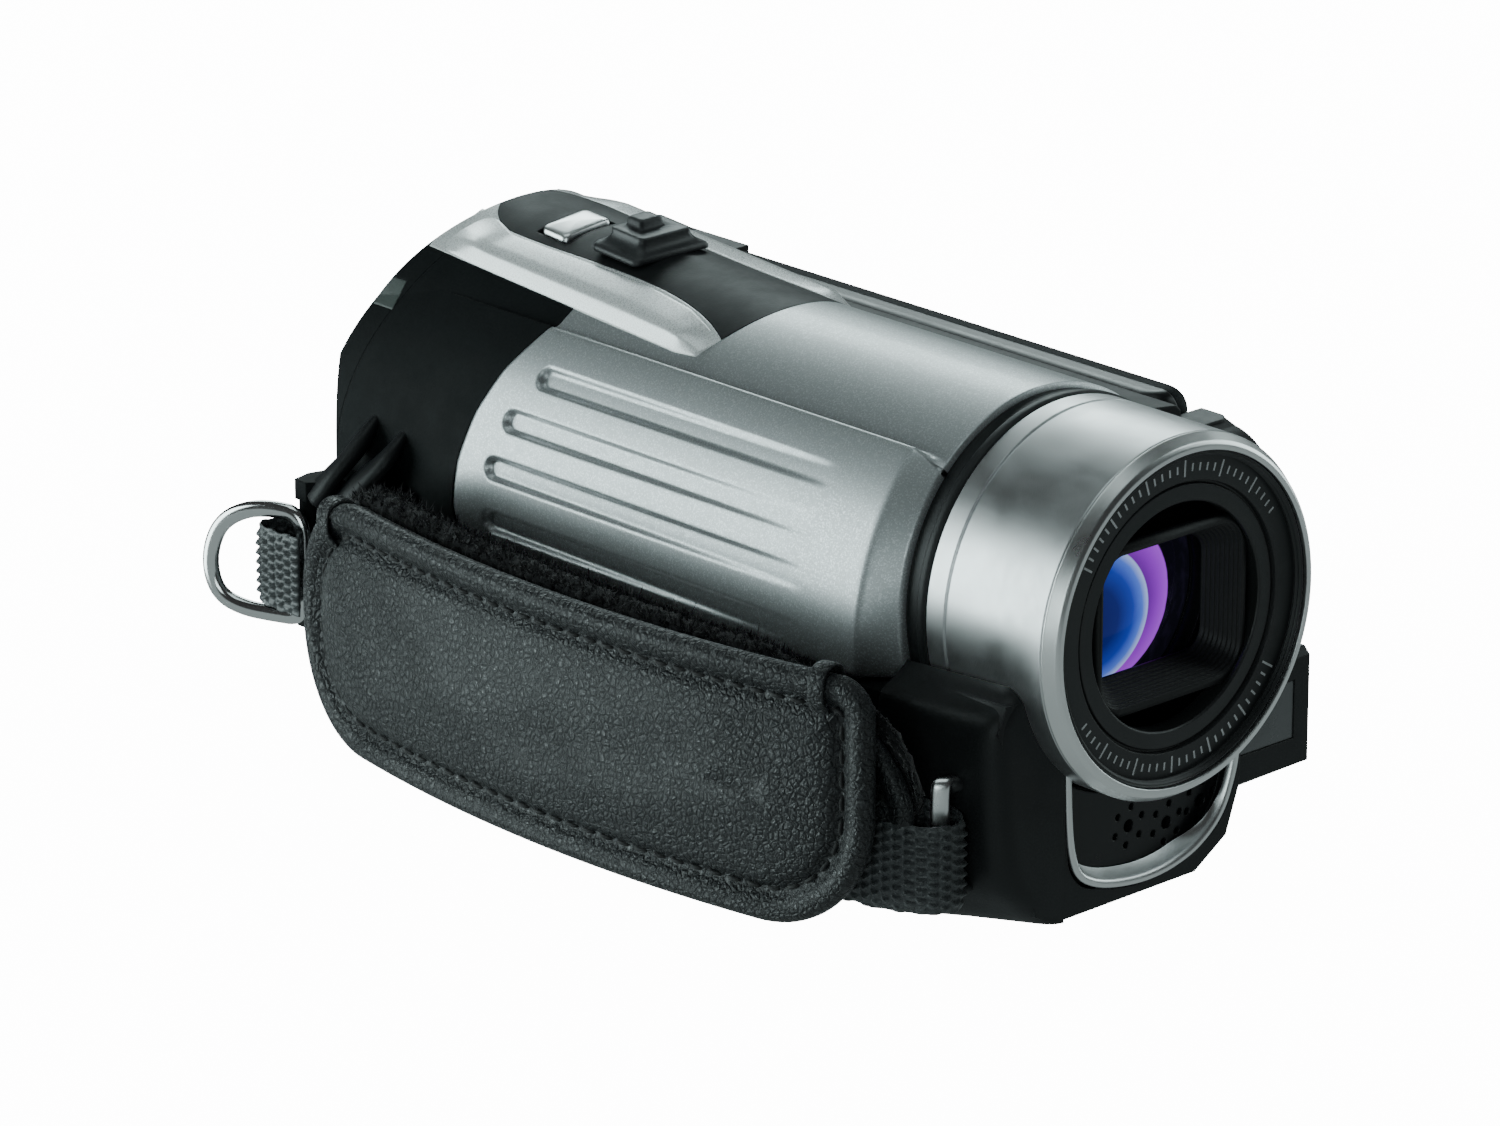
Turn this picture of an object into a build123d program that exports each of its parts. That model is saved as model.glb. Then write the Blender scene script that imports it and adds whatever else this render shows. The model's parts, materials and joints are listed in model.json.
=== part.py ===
from build123d import *
import os
from math import cos, radians, sin, sqrt

# Handheld camcorder with a fold-out screen, hand strap and removable battery pack.
# Millimetres, +Z up. The lens points along -Y, the screen is on the +X side and the
# strap on the -X side. The origin is the mouth of the tripod socket in the base plane.

os.makedirs("parts", exist_ok=True)

# ---- driving dimensions -------------------------------------------------------------
LENS_Z = 33.0  # height of the lens axis above the base
RIM_Y = -55.0  # plane of the lens rim
BARREL_LENGTH = 19.2
BARREL_R = 20.7
SPACER_LENGTH = 3.2
COVER_Y = RIM_Y + BARREL_LENGTH + SPACER_LENGTH  # front edge of the body covers
BODY_BACK = 62.0
WALL = 1.6
TOP_R = 21.3  # radius of the top of the body about the lens axis
SEAM_Z = 25.5  # seam between the silver cover and the black housing below it
RIDGE = (-15.8, 50.0)  # top ridge of the ribbed side, as (x, z)
SIDE_X = -24.4  # side cover at the seam
FLOOR_X = -26.5  # widest point of the grip side, low down
PLATEAU_Y = COVER_Y + 3.4  # front of the raised ribbed area
INNER_WALL_X = 21.9  # wall that the closed screen lies against
OUTER_X = 29.5  # screen side of the body, in front of and behind the screen
LEDGE_Z = 4.6  # ledge under the screen
SCREEN_TOP = 46.6
SCREEN_X = 22.2  # inner face of the closed screen
SCREEN_T = 7.8
HINGE_X = SCREEN_X + SCREEN_T / 2
HINGE_Y = -24.3
SCREEN_BACK = 45.4
BACK_BLOCK_Y = 46.0  # front of the block behind the screen
BATTERY = (31.0, 19.0, 38.4)  # pack width, depth and height
BATTERY_X0, BATTERY_Y0, BATTERY_Z0 = -4.5, 50.0, 4.6
THREAD_R = 18.5  # 37 mm filter thread
SOCKET_R = 2.55  # minor radius of the 1/4 inch tripod thread
STRAP_R = 187.0  # plan radius of the strap's outer face
STRAP_X = -42.5  # furthest point of the strap
STRAP_Y0, STRAP_Y1 = -43.5, 52.0
STRAP_Z0, STRAP_Z1 = 1.0, 31.3
CLEAR = 0.3  # gap round moving pieces

LENS_AXIS = Axis((0, 0, LENS_Z), (0, 1, 0))
LENS_HALF = Plane(origin=(0, RIM_Y, LENS_Z), x_dir=(0, 1, 0), z_dir=(1, 0, 0))


# ---- helpers ------------------------------------------------------------------------
def keep(builder, node):
    """Labels a finished piece and writes it as the node's STEP file."""
    builder.part.label = node
    export_step(builder.part, f"parts/{node}.step")


def block(x0, x1, y0, y1, z0, z1, mode=Mode.ADD):
    """A box between two corners, in the part that is being built."""
    with Locations(((x0 + x1) / 2, (y0 + y1) / 2, (z0 + z1) / 2)):
        Box(x1 - x0, y1 - y0, z1 - z0, mode=mode)


def face_at(y):
    """Sketch plane facing the front at y: sketch x is X and sketch y is Z."""
    return Plane.XZ.offset(-y)


def lens_ring(points, mode=Mode.ADD):
    """Turns a closed outline of (distance behind the rim, radius) about the lens axis."""
    with BuildSketch(LENS_HALF) as profile:
        with BuildLine():
            Polyline(*points, close=True)
        make_face()
    revolve(profile.sketch, axis=LENS_AXIS, mode=mode)


def disc_y(x, z, y0, y1, radius, mode=Mode.ADD):
    """A round boss or hole along Y from y0 back to y1."""
    with BuildSketch(face_at(y0)) as outline:
        with Locations((x, z)):
            Circle(radius)
    extrude(outline.sketch, amount=y0 - y1, mode=mode)


# ---- body blank: the outer form, split into covers below ----------------------------
def core_outline(y, inset):
    """Section of the body without its raised side, drawn in by inset, at y."""
    radius = TOP_R - inset
    shoulder_z = SEAM_Z - 0.2
    shoulder_x = -sqrt(radius**2 - (LENS_Z - shoulder_z) ** 2)
    right = 15.0  # where the round top meets the screen-side frame
    right_z = LENS_Z + sqrt(radius**2 - right**2)
    inner = INNER_WALL_X - inset
    ledge = [(inner, inset)]
    if not inset:
        ledge = [
            (inner, LEDGE_Z),
            (OUTER_X, LEDGE_Z - 0.4),
            (OUTER_X, 2.5),
            (OUTER_X - 2.5, 0),
        ]
    with BuildSketch(face_at(y)) as section:
        with BuildLine():
            Polyline(
                (0, inset),
                (FLOOR_X + 1 + inset, inset),
                (FLOOR_X + inset, 5),
                (SIDE_X + inset, SEAM_Z - 0.6 - inset),
                (shoulder_x, shoulder_z),
            )
            ThreePointArc((shoulder_x, shoulder_z), (0, LENS_Z + radius), (right, right_z))
            Polyline(
                (right, right_z),
                (inner - 0.7, SCREEN_TOP + 0.7 - inset),
                (inner, SCREEN_TOP - inset),
                *ledge,
                (0, inset),
            )
        make_face()
    return section.sketch


def raised_side_outline(y, inset):
    """Section of the raised, ribbed side, from the seam up to the ridge."""
    low_z = SEAM_Z - 0.6
    ridge = (RIDGE[0] + 0.9 * inset, RIDGE[1] - 1.2 * inset)
    with BuildSketch(face_at(y)) as section:
        with BuildLine():
            Polyline((-19, 22), (SIDE_X + inset, low_z - inset))
            ThreePointArc((SIDE_X + inset, low_z - inset), (-22.9 + inset, 38.8), ridge)
            Polyline(ridge, (-13.9, 48.6 - 1.3 * inset), (-12, 42), (-14, 30), (-19, 22))
        make_face()
    return section.sketch


def side_outline(setback):
    """Side view of the body, as (y, z): the back leans forward towards the top."""
    back = BODY_BACK - setback
    with BuildSketch(Plane.YZ.offset(-40)) as view:
        with BuildLine():
            Polyline((back - 16, 63), (-90, 63), (-90, -10), (back, -10), (back, 24))
            Spline(
                (back, 24),
                (back - 0.9, 38),
                (back - 3.6, 47.4),
                (back - 8.4, 56),
                (back - 16, 63),
            )
        make_face()
    return view.sketch


def plan_outline(setback):
    """Plan view of the body, as (x, y): the two rear corners are rounded."""
    left, right, back = -28.0 + setback, OUTER_X - setback, BODY_BACK - setback
    with BuildSketch(Plane.XY.offset(-10)) as view:
        with BuildLine():
            Polyline((left + 10, back), (right - 4, back))
            ThreePointArc((right - 4, back), (right - 1.2, back - 1.2), (right, back - 4))
            Polyline((right, back - 4), (right + 9, -90), (left - 9, -90), (left, 48))
            ThreePointArc((left, 48), (left + 3.6, back - 3.4), (left + 10, back))
        make_face()
    return view.sketch


HUMP_TILT = 4.2  # rise of the rear top, degrees
HUMP_R = 20.6
HUMP_Y = -2.0
hump_plane = Plane(
    origin=(0, HUMP_Y, LENS_Z),
    x_dir=(1, 0, 0),
    z_dir=(0, cos(radians(HUMP_TILT)), sin(radians(HUMP_TILT))),
)


def blank(inset):
    """Solid of the whole body, drawn in by inset on every side."""
    front = PLATEAU_Y + inset
    with BuildPart() as form:
        extrude(core_outline(COVER_Y + inset, inset), amount=COVER_Y + inset - BODY_BACK)
        extrude(raised_side_outline(front, inset), amount=front - BODY_BACK)
        if not inset:
            with BuildSketch(hump_plane) as hump:
                Circle(HUMP_R)
            extrude(hump.sketch, amount=70)
        block(
            10, OUTER_X - inset, BACK_BLOCK_Y + inset, BODY_BACK, 0.5 + inset,
            SCREEN_TOP - inset,
        )
        extrude(side_outline(inset), amount=80, mode=Mode.INTERSECT)
        extrude(plan_outline(inset), amount=80, mode=Mode.INTERSECT)
    return form.part


outer_form = blank(0)
inner_form = blank(WALL)
with BuildPart() as body_shell:
    add(outer_form)
    add(inner_form, mode=Mode.SUBTRACT)
    disc_y(0, LENS_Z, COVER_Y - 1, COVER_Y + 5, 16.5, mode=Mode.SUBTRACT)



# ---- seams between the covers -------------------------------------------------------
SPLIT_X = 12.8  # seam between the silver cover and the screen-side frame
BASE_SEAM_Z = 2.4
TRIM_X = SPLIT_X  # half width of the bright top trim
TRIM_Y1 = 55.0


def trim_zone():
    """Upright prism over the bright trim and the control panel inside it."""
    with BuildPart() as zone:
        with BuildSketch(Plane.XY.offset(LENS_Z + 8)):
            with BuildLine():
                Polyline((-9.6, 8.6), (-TRIM_X + 0.4, 9.8), (-TRIM_X, 13))
                Polyline((-TRIM_X, 13), (-TRIM_X, TRIM_Y1), (TRIM_X, TRIM_Y1))
                Polyline((TRIM_X, TRIM_Y1), (TRIM_X, 13), (TRIM_X - 0.4, 9.8), (9.6, 8.6))
                ThreePointArc((9.6, 8.6), (0, 6.9), (-9.6, 8.6))
            make_face()
        extrude(amount=24)
    return zone.part


def panel_zone():
    """Upright prism over the control panel."""
    with BuildPart() as zone:
        with BuildSketch(Plane.XY.offset(LENS_Z + 7)):
            with BuildLine():
                Spline((-9.6, 8.6), (-7.3, 15.7), (-6.5, 24), (-7.0, 36), (-7.5, 46))
                ThreePointArc((-7.5, 46), (0, 53.6), (7.5, 46))
                Spline((7.5, 46), (7.0, 36), (6.5, 24), (7.3, 15.7), (9.6, 8.6))
                ThreePointArc((9.6, 8.6), (0, 6.9), (-9.6, 8.6))
            make_face()
        extrude(amount=26)
    return zone.part


def silver_zone():
    """Side view of the silver cover, as a prism across the body."""
    back = 37.8
    with BuildPart() as zone:
        with BuildSketch(Plane.YZ.offset(-35)):
            with BuildLine():
                Polyline((back - 3, SEAM_Z), (COVER_Y - 1, SEAM_Z), (COVER_Y - 1, 60), (28, 60))
                Line((28, 60), (30.2, 50))
                ThreePointArc((30.2, 50), (35.8, 40), (back, SEAM_Z + 3))
                ThreePointArc((back, SEAM_Z + 3), (back - 0.9, SEAM_Z + 0.9), (back - 3, SEAM_Z))
            make_face()
        extrude(amount=35 + SPLIT_X)
    return zone.part


def rear_zone():
    """Everything behind the seam of the rear housing."""
    with BuildPart() as zone:
        block(-35, 35, 20, 80, -5, 70)
        extrude(side_outline(3.6), amount=80, mode=Mode.SUBTRACT)
    return zone.part


TRIM_ZONE, PANEL_ZONE = trim_zone(), panel_zone()
SILVER_ZONE, REAR_ZONE = silver_zone(), rear_zone()

# ---- silver side and top cover ------------------------------------------------------
RIB_CENTRE = Vector(4.12, 0, 29.48)  # centre of the rounded side, in section
RIB_RADIUS = 28.6
RIB_ANGLES = (146.3, 158.0, 169.9, 182.6)  # place of each channel round that centre
RIB_BACKS = (28.0, 31.0, 32.5, 32.5)  # rear end of each channel
RIB_FRONT = -18.0
RIB_WIDTH = 2.5
RIB_DEPTH = 0.8


def rib_channel(angle, back):
    """A channel that is deepest at its rounded rear end and runs out at the front."""
    outward = Vector(cos(radians(angle)), 0, sin(radians(angle)))
    length = back - RIB_FRONT
    fall = RIB_DEPTH / length
    middle = RIB_CENTRE + outward * (RIB_RADIUS - RIB_DEPTH / 2)
    floor = Plane(
        origin=(middle.X, (back + RIB_FRONT) / 2, middle.Z),
        x_dir=(-outward.X * fall, 1, -outward.Z * fall),
        z_dir=(outward.X, fall, outward.Z),
    )
    with BuildSketch(floor) as slot:
        SlotOverall(length, RIB_WIDTH)
    return extrude(slot.sketch, amount=3, mode=Mode.PRIVATE)


with BuildPart() as side_cover:
    add(body_shell.part)
    add(SILVER_ZONE, mode=Mode.INTERSECT)
    add(TRIM_ZONE, mode=Mode.SUBTRACT)
    for angle, back in zip(RIB_ANGLES, RIB_BACKS):
        add(rib_channel(angle, back), mode=Mode.SUBTRACT)
keep(side_cover, "side_cover")

# ---- bright trim and control panel on the top ---------------------------------------
LEVER_Y = 30.8  # centre of the zoom lever
PHOTO_X0, PHOTO_X1 = -6.0, 1.8
PHOTO_Y0, PHOTO_Y1 = 38.8, 43.8

with BuildPart() as top_trim:
    add(body_shell.part)
    add(TRIM_ZONE, mode=Mode.INTERSECT)
    add(PANEL_ZONE, mode=Mode.SUBTRACT)
keep(top_trim, "top_trim")

with BuildPart() as control_panel:
    add(body_shell.part)
    add(PANEL_ZONE, mode=Mode.INTERSECT)
    add(TRIM_ZONE, mode=Mode.INTERSECT)
    block(PHOTO_X0, PHOTO_X1, PHOTO_Y0, PHOTO_Y1, 40, 60, mode=Mode.SUBTRACT)
    block(-3.1, 3.1, LEVER_Y - 1.6, LEVER_Y + 1.9, 40, 60, mode=Mode.SUBTRACT)
keep(control_panel, "control_panel")


def hump_section(along):
    """Upright sketch plane across the hump; its sketch origin is on the hump's axis."""
    tilt = radians(HUMP_TILT)
    centre = hump_plane.origin + Vector(0, cos(tilt), sin(tilt)) * along
    return Plane(origin=centre, x_dir=(1, 0, 0), z_dir=(0, -cos(tilt), -sin(tilt)))


LEVER_LENGTH = 8.0
LEVER_WIDTH = 11.0
LEVER_HIGH = 3.2  # platform of the lever above the panel it slides on
NUB_WIDTH, NUB_LENGTH, NUB_HIGH = 3.0, 3.2, 1.8
LEVER_ALONG = LEVER_Y - HUMP_Y - LEVER_LENGTH / 2 + HUMP_R * sin(radians(HUMP_TILT))
with BuildPart() as zoom_lever:
    with BuildSketch(hump_section(LEVER_ALONG)) as flange:
        Circle(HUMP_R + 1.5)
        Circle(HUMP_R + 0.35, mode=Mode.SUBTRACT)
        with Locations((0, HUMP_R)):
            Rectangle(LEVER_WIDTH, 8, mode=Mode.INTERSECT)
    extrude(flange.sketch, amount=-LEVER_LENGTH)
    with BuildSketch(hump_section(LEVER_ALONG + 0.8)) as waist:
        with BuildLine():
            Polyline((-4.6, HUMP_R + 1), (-3.2, HUMP_R + LEVER_HIGH))
            Line((-3.2, HUMP_R + LEVER_HIGH), (3.2, HUMP_R + LEVER_HIGH))
            Polyline((3.2, HUMP_R + LEVER_HIGH), (4.6, HUMP_R + 1), (-4.6, HUMP_R + 1))
        make_face()
    extrude(waist.sketch, amount=1.6 - LEVER_LENGTH)
    with BuildSketch(hump_section(LEVER_ALONG + LEVER_LENGTH - 0.9 - NUB_LENGTH)) as nub:
        with Locations((0, HUMP_R + LEVER_HIGH + NUB_HIGH / 2 - 0.3)):
            Rectangle(NUB_WIDTH, NUB_HIGH + 0.6)
    extrude(nub.sketch, amount=-NUB_LENGTH)
    with BuildSketch(hump_section(LEVER_ALONG + 2.9)) as stem:
        with Locations((0, HUMP_R - 0.8)):
            Rectangle(2.0, 4.4)
    extrude(stem.sketch, amount=-2.2)
keep(zoom_lever, "zoom_lever")

with BuildPart() as photo_button:
    with BuildSketch(hump_section(30)) as crown:
        Circle(HUMP_R + 0.6)
        Circle(HUMP_R - 2.6, mode=Mode.SUBTRACT)
    extrude(crown.sketch, amount=-22)
    with BuildSketch(Plane.XY.offset(45)) as plan:
        with Locations(((PHOTO_X0 + PHOTO_X1) / 2, (PHOTO_Y0 + PHOTO_Y1) / 2)):
            RectangleRounded(
                PHOTO_X1 - PHOTO_X0 - 2 * CLEAR, PHOTO_Y1 - PHOTO_Y0 - 2 * CLEAR, 1.0
            )
    extrude(plan.sketch, amount=20, mode=Mode.INTERSECT)
keep(photo_button, "photo_button")

# ---- black housings -----------------------------------------------------------------
SCREW_SPOTS = [(-20.0, -25.0), (14.0, -25.0), (-20.0, 42.0), (14.0, 42.0)]
SOCKET_OUTER_R = 5.0
SOCKET_DEPTH = 7.0

with BuildPart() as base_cover:
    add(body_shell.part)
    block(-40, 40, -60, 80, -1, BASE_SEAM_Z, mode=Mode.INTERSECT)
    add(REAR_ZONE, mode=Mode.SUBTRACT)
    with Locations(*[(x, y, 3) for x, y in SCREW_SPOTS]):
        Cylinder(3.0, 4)
    with Locations(*[(x, y, 0) for x, y in SCREW_SPOTS]):
        Cylinder(1.0, 20, mode=Mode.SUBTRACT)
        Cylinder(1.9, 3.2, mode=Mode.SUBTRACT)
    Cylinder(SOCKET_OUTER_R, 20, mode=Mode.SUBTRACT)
keep(base_cover, "base_cover")

with BuildPart() as base_screws:
    with Locations(*[(x, y, 1.0) for x, y in SCREW_SPOTS]):
        Cylinder(1.6, 1.2)
    with Locations(*[(x, y, 4.0) for x, y in SCREW_SPOTS]):
        Cylinder(0.9, 6.0)
    with Locations(*[(x, y, 0.6) for x, y in SCREW_SPOTS]):
        Box(1.8, 0.5, 0.8, mode=Mode.SUBTRACT)
        Box(0.5, 1.8, 0.8, mode=Mode.SUBTRACT)
keep(base_screws, "base_screws")

with BuildPart() as tripod_socket:
    with Locations((0, 0, 5.25)):
        Cylinder(SOCKET_OUTER_R, 10.5)
    with Locations((0, 0, WALL + 0.8)):
        Cylinder(8.0, 1.6)
    with Locations((0, 0, SOCKET_DEPTH / 2 - 0.5)):
        Cylinder(SOCKET_R, SOCKET_DEPTH + 1, mode=Mode.SUBTRACT)
keep(tripod_socket, "tripod_socket")

CARD_Y0, CARD_Y1, CARD_Z = 11.0, 35.0, 8.0
DOOR_Y0, DOOR_Y1 = 9.5, 36.5
DOOR_Z0, DOOR_Z1 = 5.2, 11.0
LAMP_BOX = (-19.6, -15.2, 55.0, 58.4, 46.8, 49.8)  # wedge at the rear edge of the top
LUG_X, LUG_Y = -30.4, 56.6
LUG_Z0, LUG_Z1 = 10.5, 28.5


def strap_lug():
    """Two ears and a bar on the grip side that carry the rear webbing."""
    for z in (LUG_Z0, LUG_Z1 - 2.4):
        with BuildSketch(Plane.XY.offset(z)) as ear:
            with BuildLine():
                Polyline((-25.4, 44), (-28.5, 53), (-31.6, 55.6), (-31.6, 57.6))
                Polyline((-31.6, 57.6), (-29, 58.2), (-24.6, 57.0), (-25.4, 44))
            make_face()
        extrude(ear.sketch, amount=2.4)
    with Locations((LUG_X, LUG_Y, (LUG_Z0 + LUG_Z1) / 2)):
        Cylinder(1.1, LUG_Z1 - LUG_Z0)


with BuildPart() as grip_housing:
    add(body_shell.part)
    block(-40, SPLIT_X, -60, 80, BASE_SEAM_Z, 70, mode=Mode.INTERSECT)
    add(SILVER_ZONE, mode=Mode.SUBTRACT)
    add(TRIM_ZONE, mode=Mode.SUBTRACT)
    strap_lug()
    add(inner_form, mode=Mode.SUBTRACT)
    add(REAR_ZONE, mode=Mode.SUBTRACT)
    block(-30, -24, DOOR_Y0, DOOR_Y1, DOOR_Z0, DOOR_Z1, mode=Mode.SUBTRACT)
    block(*LAMP_BOX, mode=Mode.SUBTRACT)
keep(grip_housing, "grip_housing")

with BuildPart() as card_door:
    add(outer_form)
    block(
        -30, -24.6, DOOR_Y0 + CLEAR, DOOR_Y1 - CLEAR, DOOR_Z0 + CLEAR, DOOR_Z1 - CLEAR,
        mode=Mode.INTERSECT,
    )
keep(card_door, "card_door")

with BuildPart() as memory_card:
    block(-20, 11, CARD_Y0, CARD_Y1, CARD_Z - 1.05, CARD_Z + 1.05)
    with BuildSketch(Plane.XY.offset(CARD_Z - 2)) as corner:
        with BuildLine():
            Polyline((11.1, CARD_Y1 - 4), (11.1, CARD_Y1 + 0.1), (7, CARD_Y1 + 0.1), close=True)
        make_face()
    extrude(corner.sketch, amount=4, mode=Mode.SUBTRACT)
keep(memory_card, "memory_card")

# ---- battery pocket, shared by the rear and screen-side housings --------------------
BATTERY_BACK = BATTERY_Y0 + BATTERY[1]


def battery_box(grow, mode=Mode.ADD):
    """The battery's envelope, grown all round, open to the back."""
    block(
        BATTERY_X0 - grow, BATTERY_X0 + BATTERY[0] + grow, BATTERY_Y0 - grow,
        BATTERY_BACK + 5, BATTERY_Z0 - grow, BATTERY_Z0 + BATTERY[2] + grow, mode=mode,
    )


with BuildPart() as pocket_form:
    battery_box(1.4)
    add(outer_form, mode=Mode.INTERSECT)

# ---- screen-side housing ------------------------------------------------------------
BRACKET_PLATE = (21.0, 22.2, -26.9, -21.7, 13.3, 38.7)
BUTTON_R = 2.2
WALL_BUTTONS = {"power_button": (33.0, 36.0), "playback_button": (33.0, 27.0)}
SPEAKER_Y, SPEAKER_Z = -14.0, 31.0
with BuildPart() as screen_housing:
    add(body_shell.part)
    block(SPLIT_X, 40, -60, 80, BASE_SEAM_Z, 70, mode=Mode.INTERSECT)
    add(REAR_ZONE, mode=Mode.SUBTRACT)
    add(pocket_form.part, mode=Mode.SUBTRACT)
    block(*BRACKET_PLATE, mode=Mode.SUBTRACT)
    with Locations(*[Location((21, y, z), (0, 90, 0)) for y, z in WALL_BUTTONS.values()]):
        Cylinder(BUTTON_R + CLEAR, 4, mode=Mode.SUBTRACT)
    with Locations(Location((21, SPEAKER_Y, SPEAKER_Z), (0, 90, 0))):
        with PolarLocations(2.6, 8):
            Cylinder(0.5, 4, mode=Mode.SUBTRACT)
        Cylinder(0.5, 4, mode=Mode.SUBTRACT)
keep(screen_housing, "screen_housing")

for node, (y, z) in WALL_BUTTONS.items():
    with BuildPart() as wall_button:
        with Locations(Location((INNER_WALL_X - 1.4, y, z), (0, 90, 0))):
            Cylinder(BUTTON_R, 2.6)
        fillet(wall_button.faces().sort_by(Axis.X)[-1].edges(), radius=0.4)
    keep(wall_button, node)

with BuildPart() as speaker:
    with Locations(Location((19.4, SPEAKER_Y, SPEAKER_Z), (0, 90, 0))):
        Cylinder(5.0, 1.7)
    with Locations(Location((18.6, SPEAKER_Y, SPEAKER_Z), (0, 90, 0))):
        Cylinder(3.0, 0.4)
keep(speaker, "speaker")

# ---- rear housing, battery and rear controls ----------------------------------------
RECORD_X, RECORD_Z = -14.5, 31.0
RECORD_R = 4.6
SWITCH_Z = 16.0
CATCH_X = -8.2


with BuildPart() as rear_housing:
    add(body_shell.part)
    add(REAR_ZONE, mode=Mode.INTERSECT)
    add(pocket_form.part)
    add(TRIM_ZONE, mode=Mode.SUBTRACT)
    battery_box(CLEAR, mode=Mode.SUBTRACT)
    disc_y(RECORD_X, RECORD_Z, 55, 70, RECORD_R + CLEAR, mode=Mode.SUBTRACT)
    block(-20.0, -9.6, 55, 70, SWITCH_Z - 1.5, SWITCH_Z + 1.5, mode=Mode.SUBTRACT)
    block(CATCH_X - 1.3, CATCH_X + 1.3, 55, 70, 22, 31, mode=Mode.SUBTRACT)
    block(*LAMP_BOX, mode=Mode.SUBTRACT)
keep(rear_housing, "rear_housing")

with BuildPart() as battery_pack:
    with Locations(
        (
            BATTERY_X0 + BATTERY[0] / 2,
            BATTERY_Y0 + BATTERY[1] / 2,
            BATTERY_Z0 + BATTERY[2] / 2,
        )
    ):
        Box(*BATTERY)
    fillet(battery_pack.faces().sort_by(Axis.Y)[-1].edges(), radius=2.4)
keep(battery_pack, "battery_pack")

with BuildPart() as battery_contacts:
    block(8, 16, BATTERY_Y0 - 2.6, BATTERY_Y0 - 1.4, 12, 18)
keep(battery_contacts, "battery_contacts")

with BuildPart() as start_stop_button:
    disc_y(RECORD_X, RECORD_Z, BODY_BACK - 2.6, BODY_BACK + 1.2, RECORD_R)
    fillet(start_stop_button.faces().sort_by(Axis.Y)[-1].edges(), radius=0.8)
keep(start_stop_button, "start_stop_button")

with BuildPart() as mode_switch:
    block(-17.2, -12.4, BODY_BACK - 1.2, BODY_BACK + 0.9, SWITCH_Z - 1.2, SWITCH_Z + 1.2)
    block(-17.2, -12.4, BODY_BACK - 2.6, BODY_BACK - 1.2, SWITCH_Z - 1.2, SWITCH_Z + 1.2)
    with Locations(*[(x, BODY_BACK + 0.9, SWITCH_Z) for x in (-15.8, -14.8, -13.8)]):
        Box(0.4, 0.6, 2.4, mode=Mode.SUBTRACT)
keep(mode_switch, "mode_switch")

with BuildPart() as battery_catch:
    block(CATCH_X - 1.0, CATCH_X + 1.0, BODY_BACK - 2.4, BODY_BACK + 0.7, 25.6, 30.7)
keep(battery_catch, "battery_catch")

with BuildPart() as access_lamp:
    add(outer_form)
    block(*LAMP_BOX, mode=Mode.INTERSECT)
    add(inner_form, mode=Mode.SUBTRACT)
keep(access_lamp, "access_lamp")

# ---- lens: rings, barrier and optics ------------------------------------------------
FACE_R = 12.9  # opening of the face ring
TUBE_R = 15.3
with BuildPart() as lens_bezel:
    lens_ring([(0, 19.2), (0, 19.7), (0.25, 20.0), (1.7, 20.7), (1.7, 19.2)])
keep(lens_bezel, "lens_bezel")

GROOVE = 16.3
with BuildPart() as lens_barrel:
    lens_ring(
        [
            (1.7, 19.4), (1.7, BARREL_R), (GROOVE - 0.15, BARREL_R),
            (GROOVE - 0.15, BARREL_R - 0.3), (GROOVE + 0.15, BARREL_R - 0.3),
            (GROOVE + 0.15, BARREL_R), (BARREL_LENGTH, BARREL_R), (BARREL_LENGTH, 19.4),
        ]
    )
keep(lens_barrel, "lens_barrel")

with BuildPart() as spacer_ring:
    end = BARREL_LENGTH + SPACER_LENGTH
    lens_ring(
        [(BARREL_LENGTH, 17.0), (BARREL_LENGTH, 20.9), (end, 20.9), (end, 17.0)]
    )
keep(spacer_ring, "spacer_ring")

with BuildPart() as lens_face_ring:
    lens_ring(
        [
            (0.15, THREAD_R), (0.15, 19.2), (4.0, 19.2), (4.0, FACE_R), (1.75, FACE_R),
            (1.75, 14.9), (2.05, 14.9), (2.05, 15.25), (1.35, 15.25), (1.35, THREAD_R),
        ]
    )
keep(lens_face_ring, "lens_face_ring")

BAFFLE_STEPS = 5
STEP_DEPTH = 0.8
with BuildPart() as lens_baffle:
    lens_ring([(2.3, 0), (2.3, FACE_R), (4.0, FACE_R), (4.0, 19.1), (6.3, 19.1), (6.3, 0)])
    for step in range(BAFFLE_STEPS):
        with BuildSketch(face_at(RIM_Y + 2.3 + step * STEP_DEPTH)) as window:
            with Locations((0, LENS_Z)):
                RectangleRounded(21.4 - 1.1 * step, 17.4 - 1.0 * step, 3.0)
        extrude(window.sketch, amount=-6, mode=Mode.SUBTRACT)
keep(lens_baffle, "lens_baffle")

BLADE_TRAVEL = 7.0
for node, side in (("upper_barrier", 1), ("lower_barrier", -1)):
    with BuildPart() as blade:
        with BuildSketch(face_at(RIM_Y + 6.7)) as leaf:
            with Locations((0, LENS_Z + side * (BLADE_TRAVEL + 3.75))):
                RectangleRounded(21.6, 7.2, 0.5)
        extrude(leaf.sketch, amount=-0.7)
    keep(blade, node)

with BuildPart() as front_lens:
    with BuildSketch(LENS_HALF) as glass:
        with BuildLine():
            ThreePointArc((8.6, 0), (9.3, 6.5), (11.7, 12.5))
            Polyline((11.7, 12.5), (14.0, 12.5), (14.0, 0), (8.6, 0))
        make_face()
    revolve(glass.sketch, axis=LENS_AXIS)
keep(front_lens, "front_lens")

with BuildPart() as lens_tube:
    lens_ring(
        [
            (9.6, 12.9), (9.6, 19.1), (11.0, 19.1), (11.0, TUBE_R), (62, TUBE_R), (62, 8),
            (60.5, 8), (60.5, 13.9), (14.3, 13.9), (14.3, 12.55), (11.8, 12.55),
            (11.8, 12.9),
        ]
    )
keep(lens_tube, "lens_tube")

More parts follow.
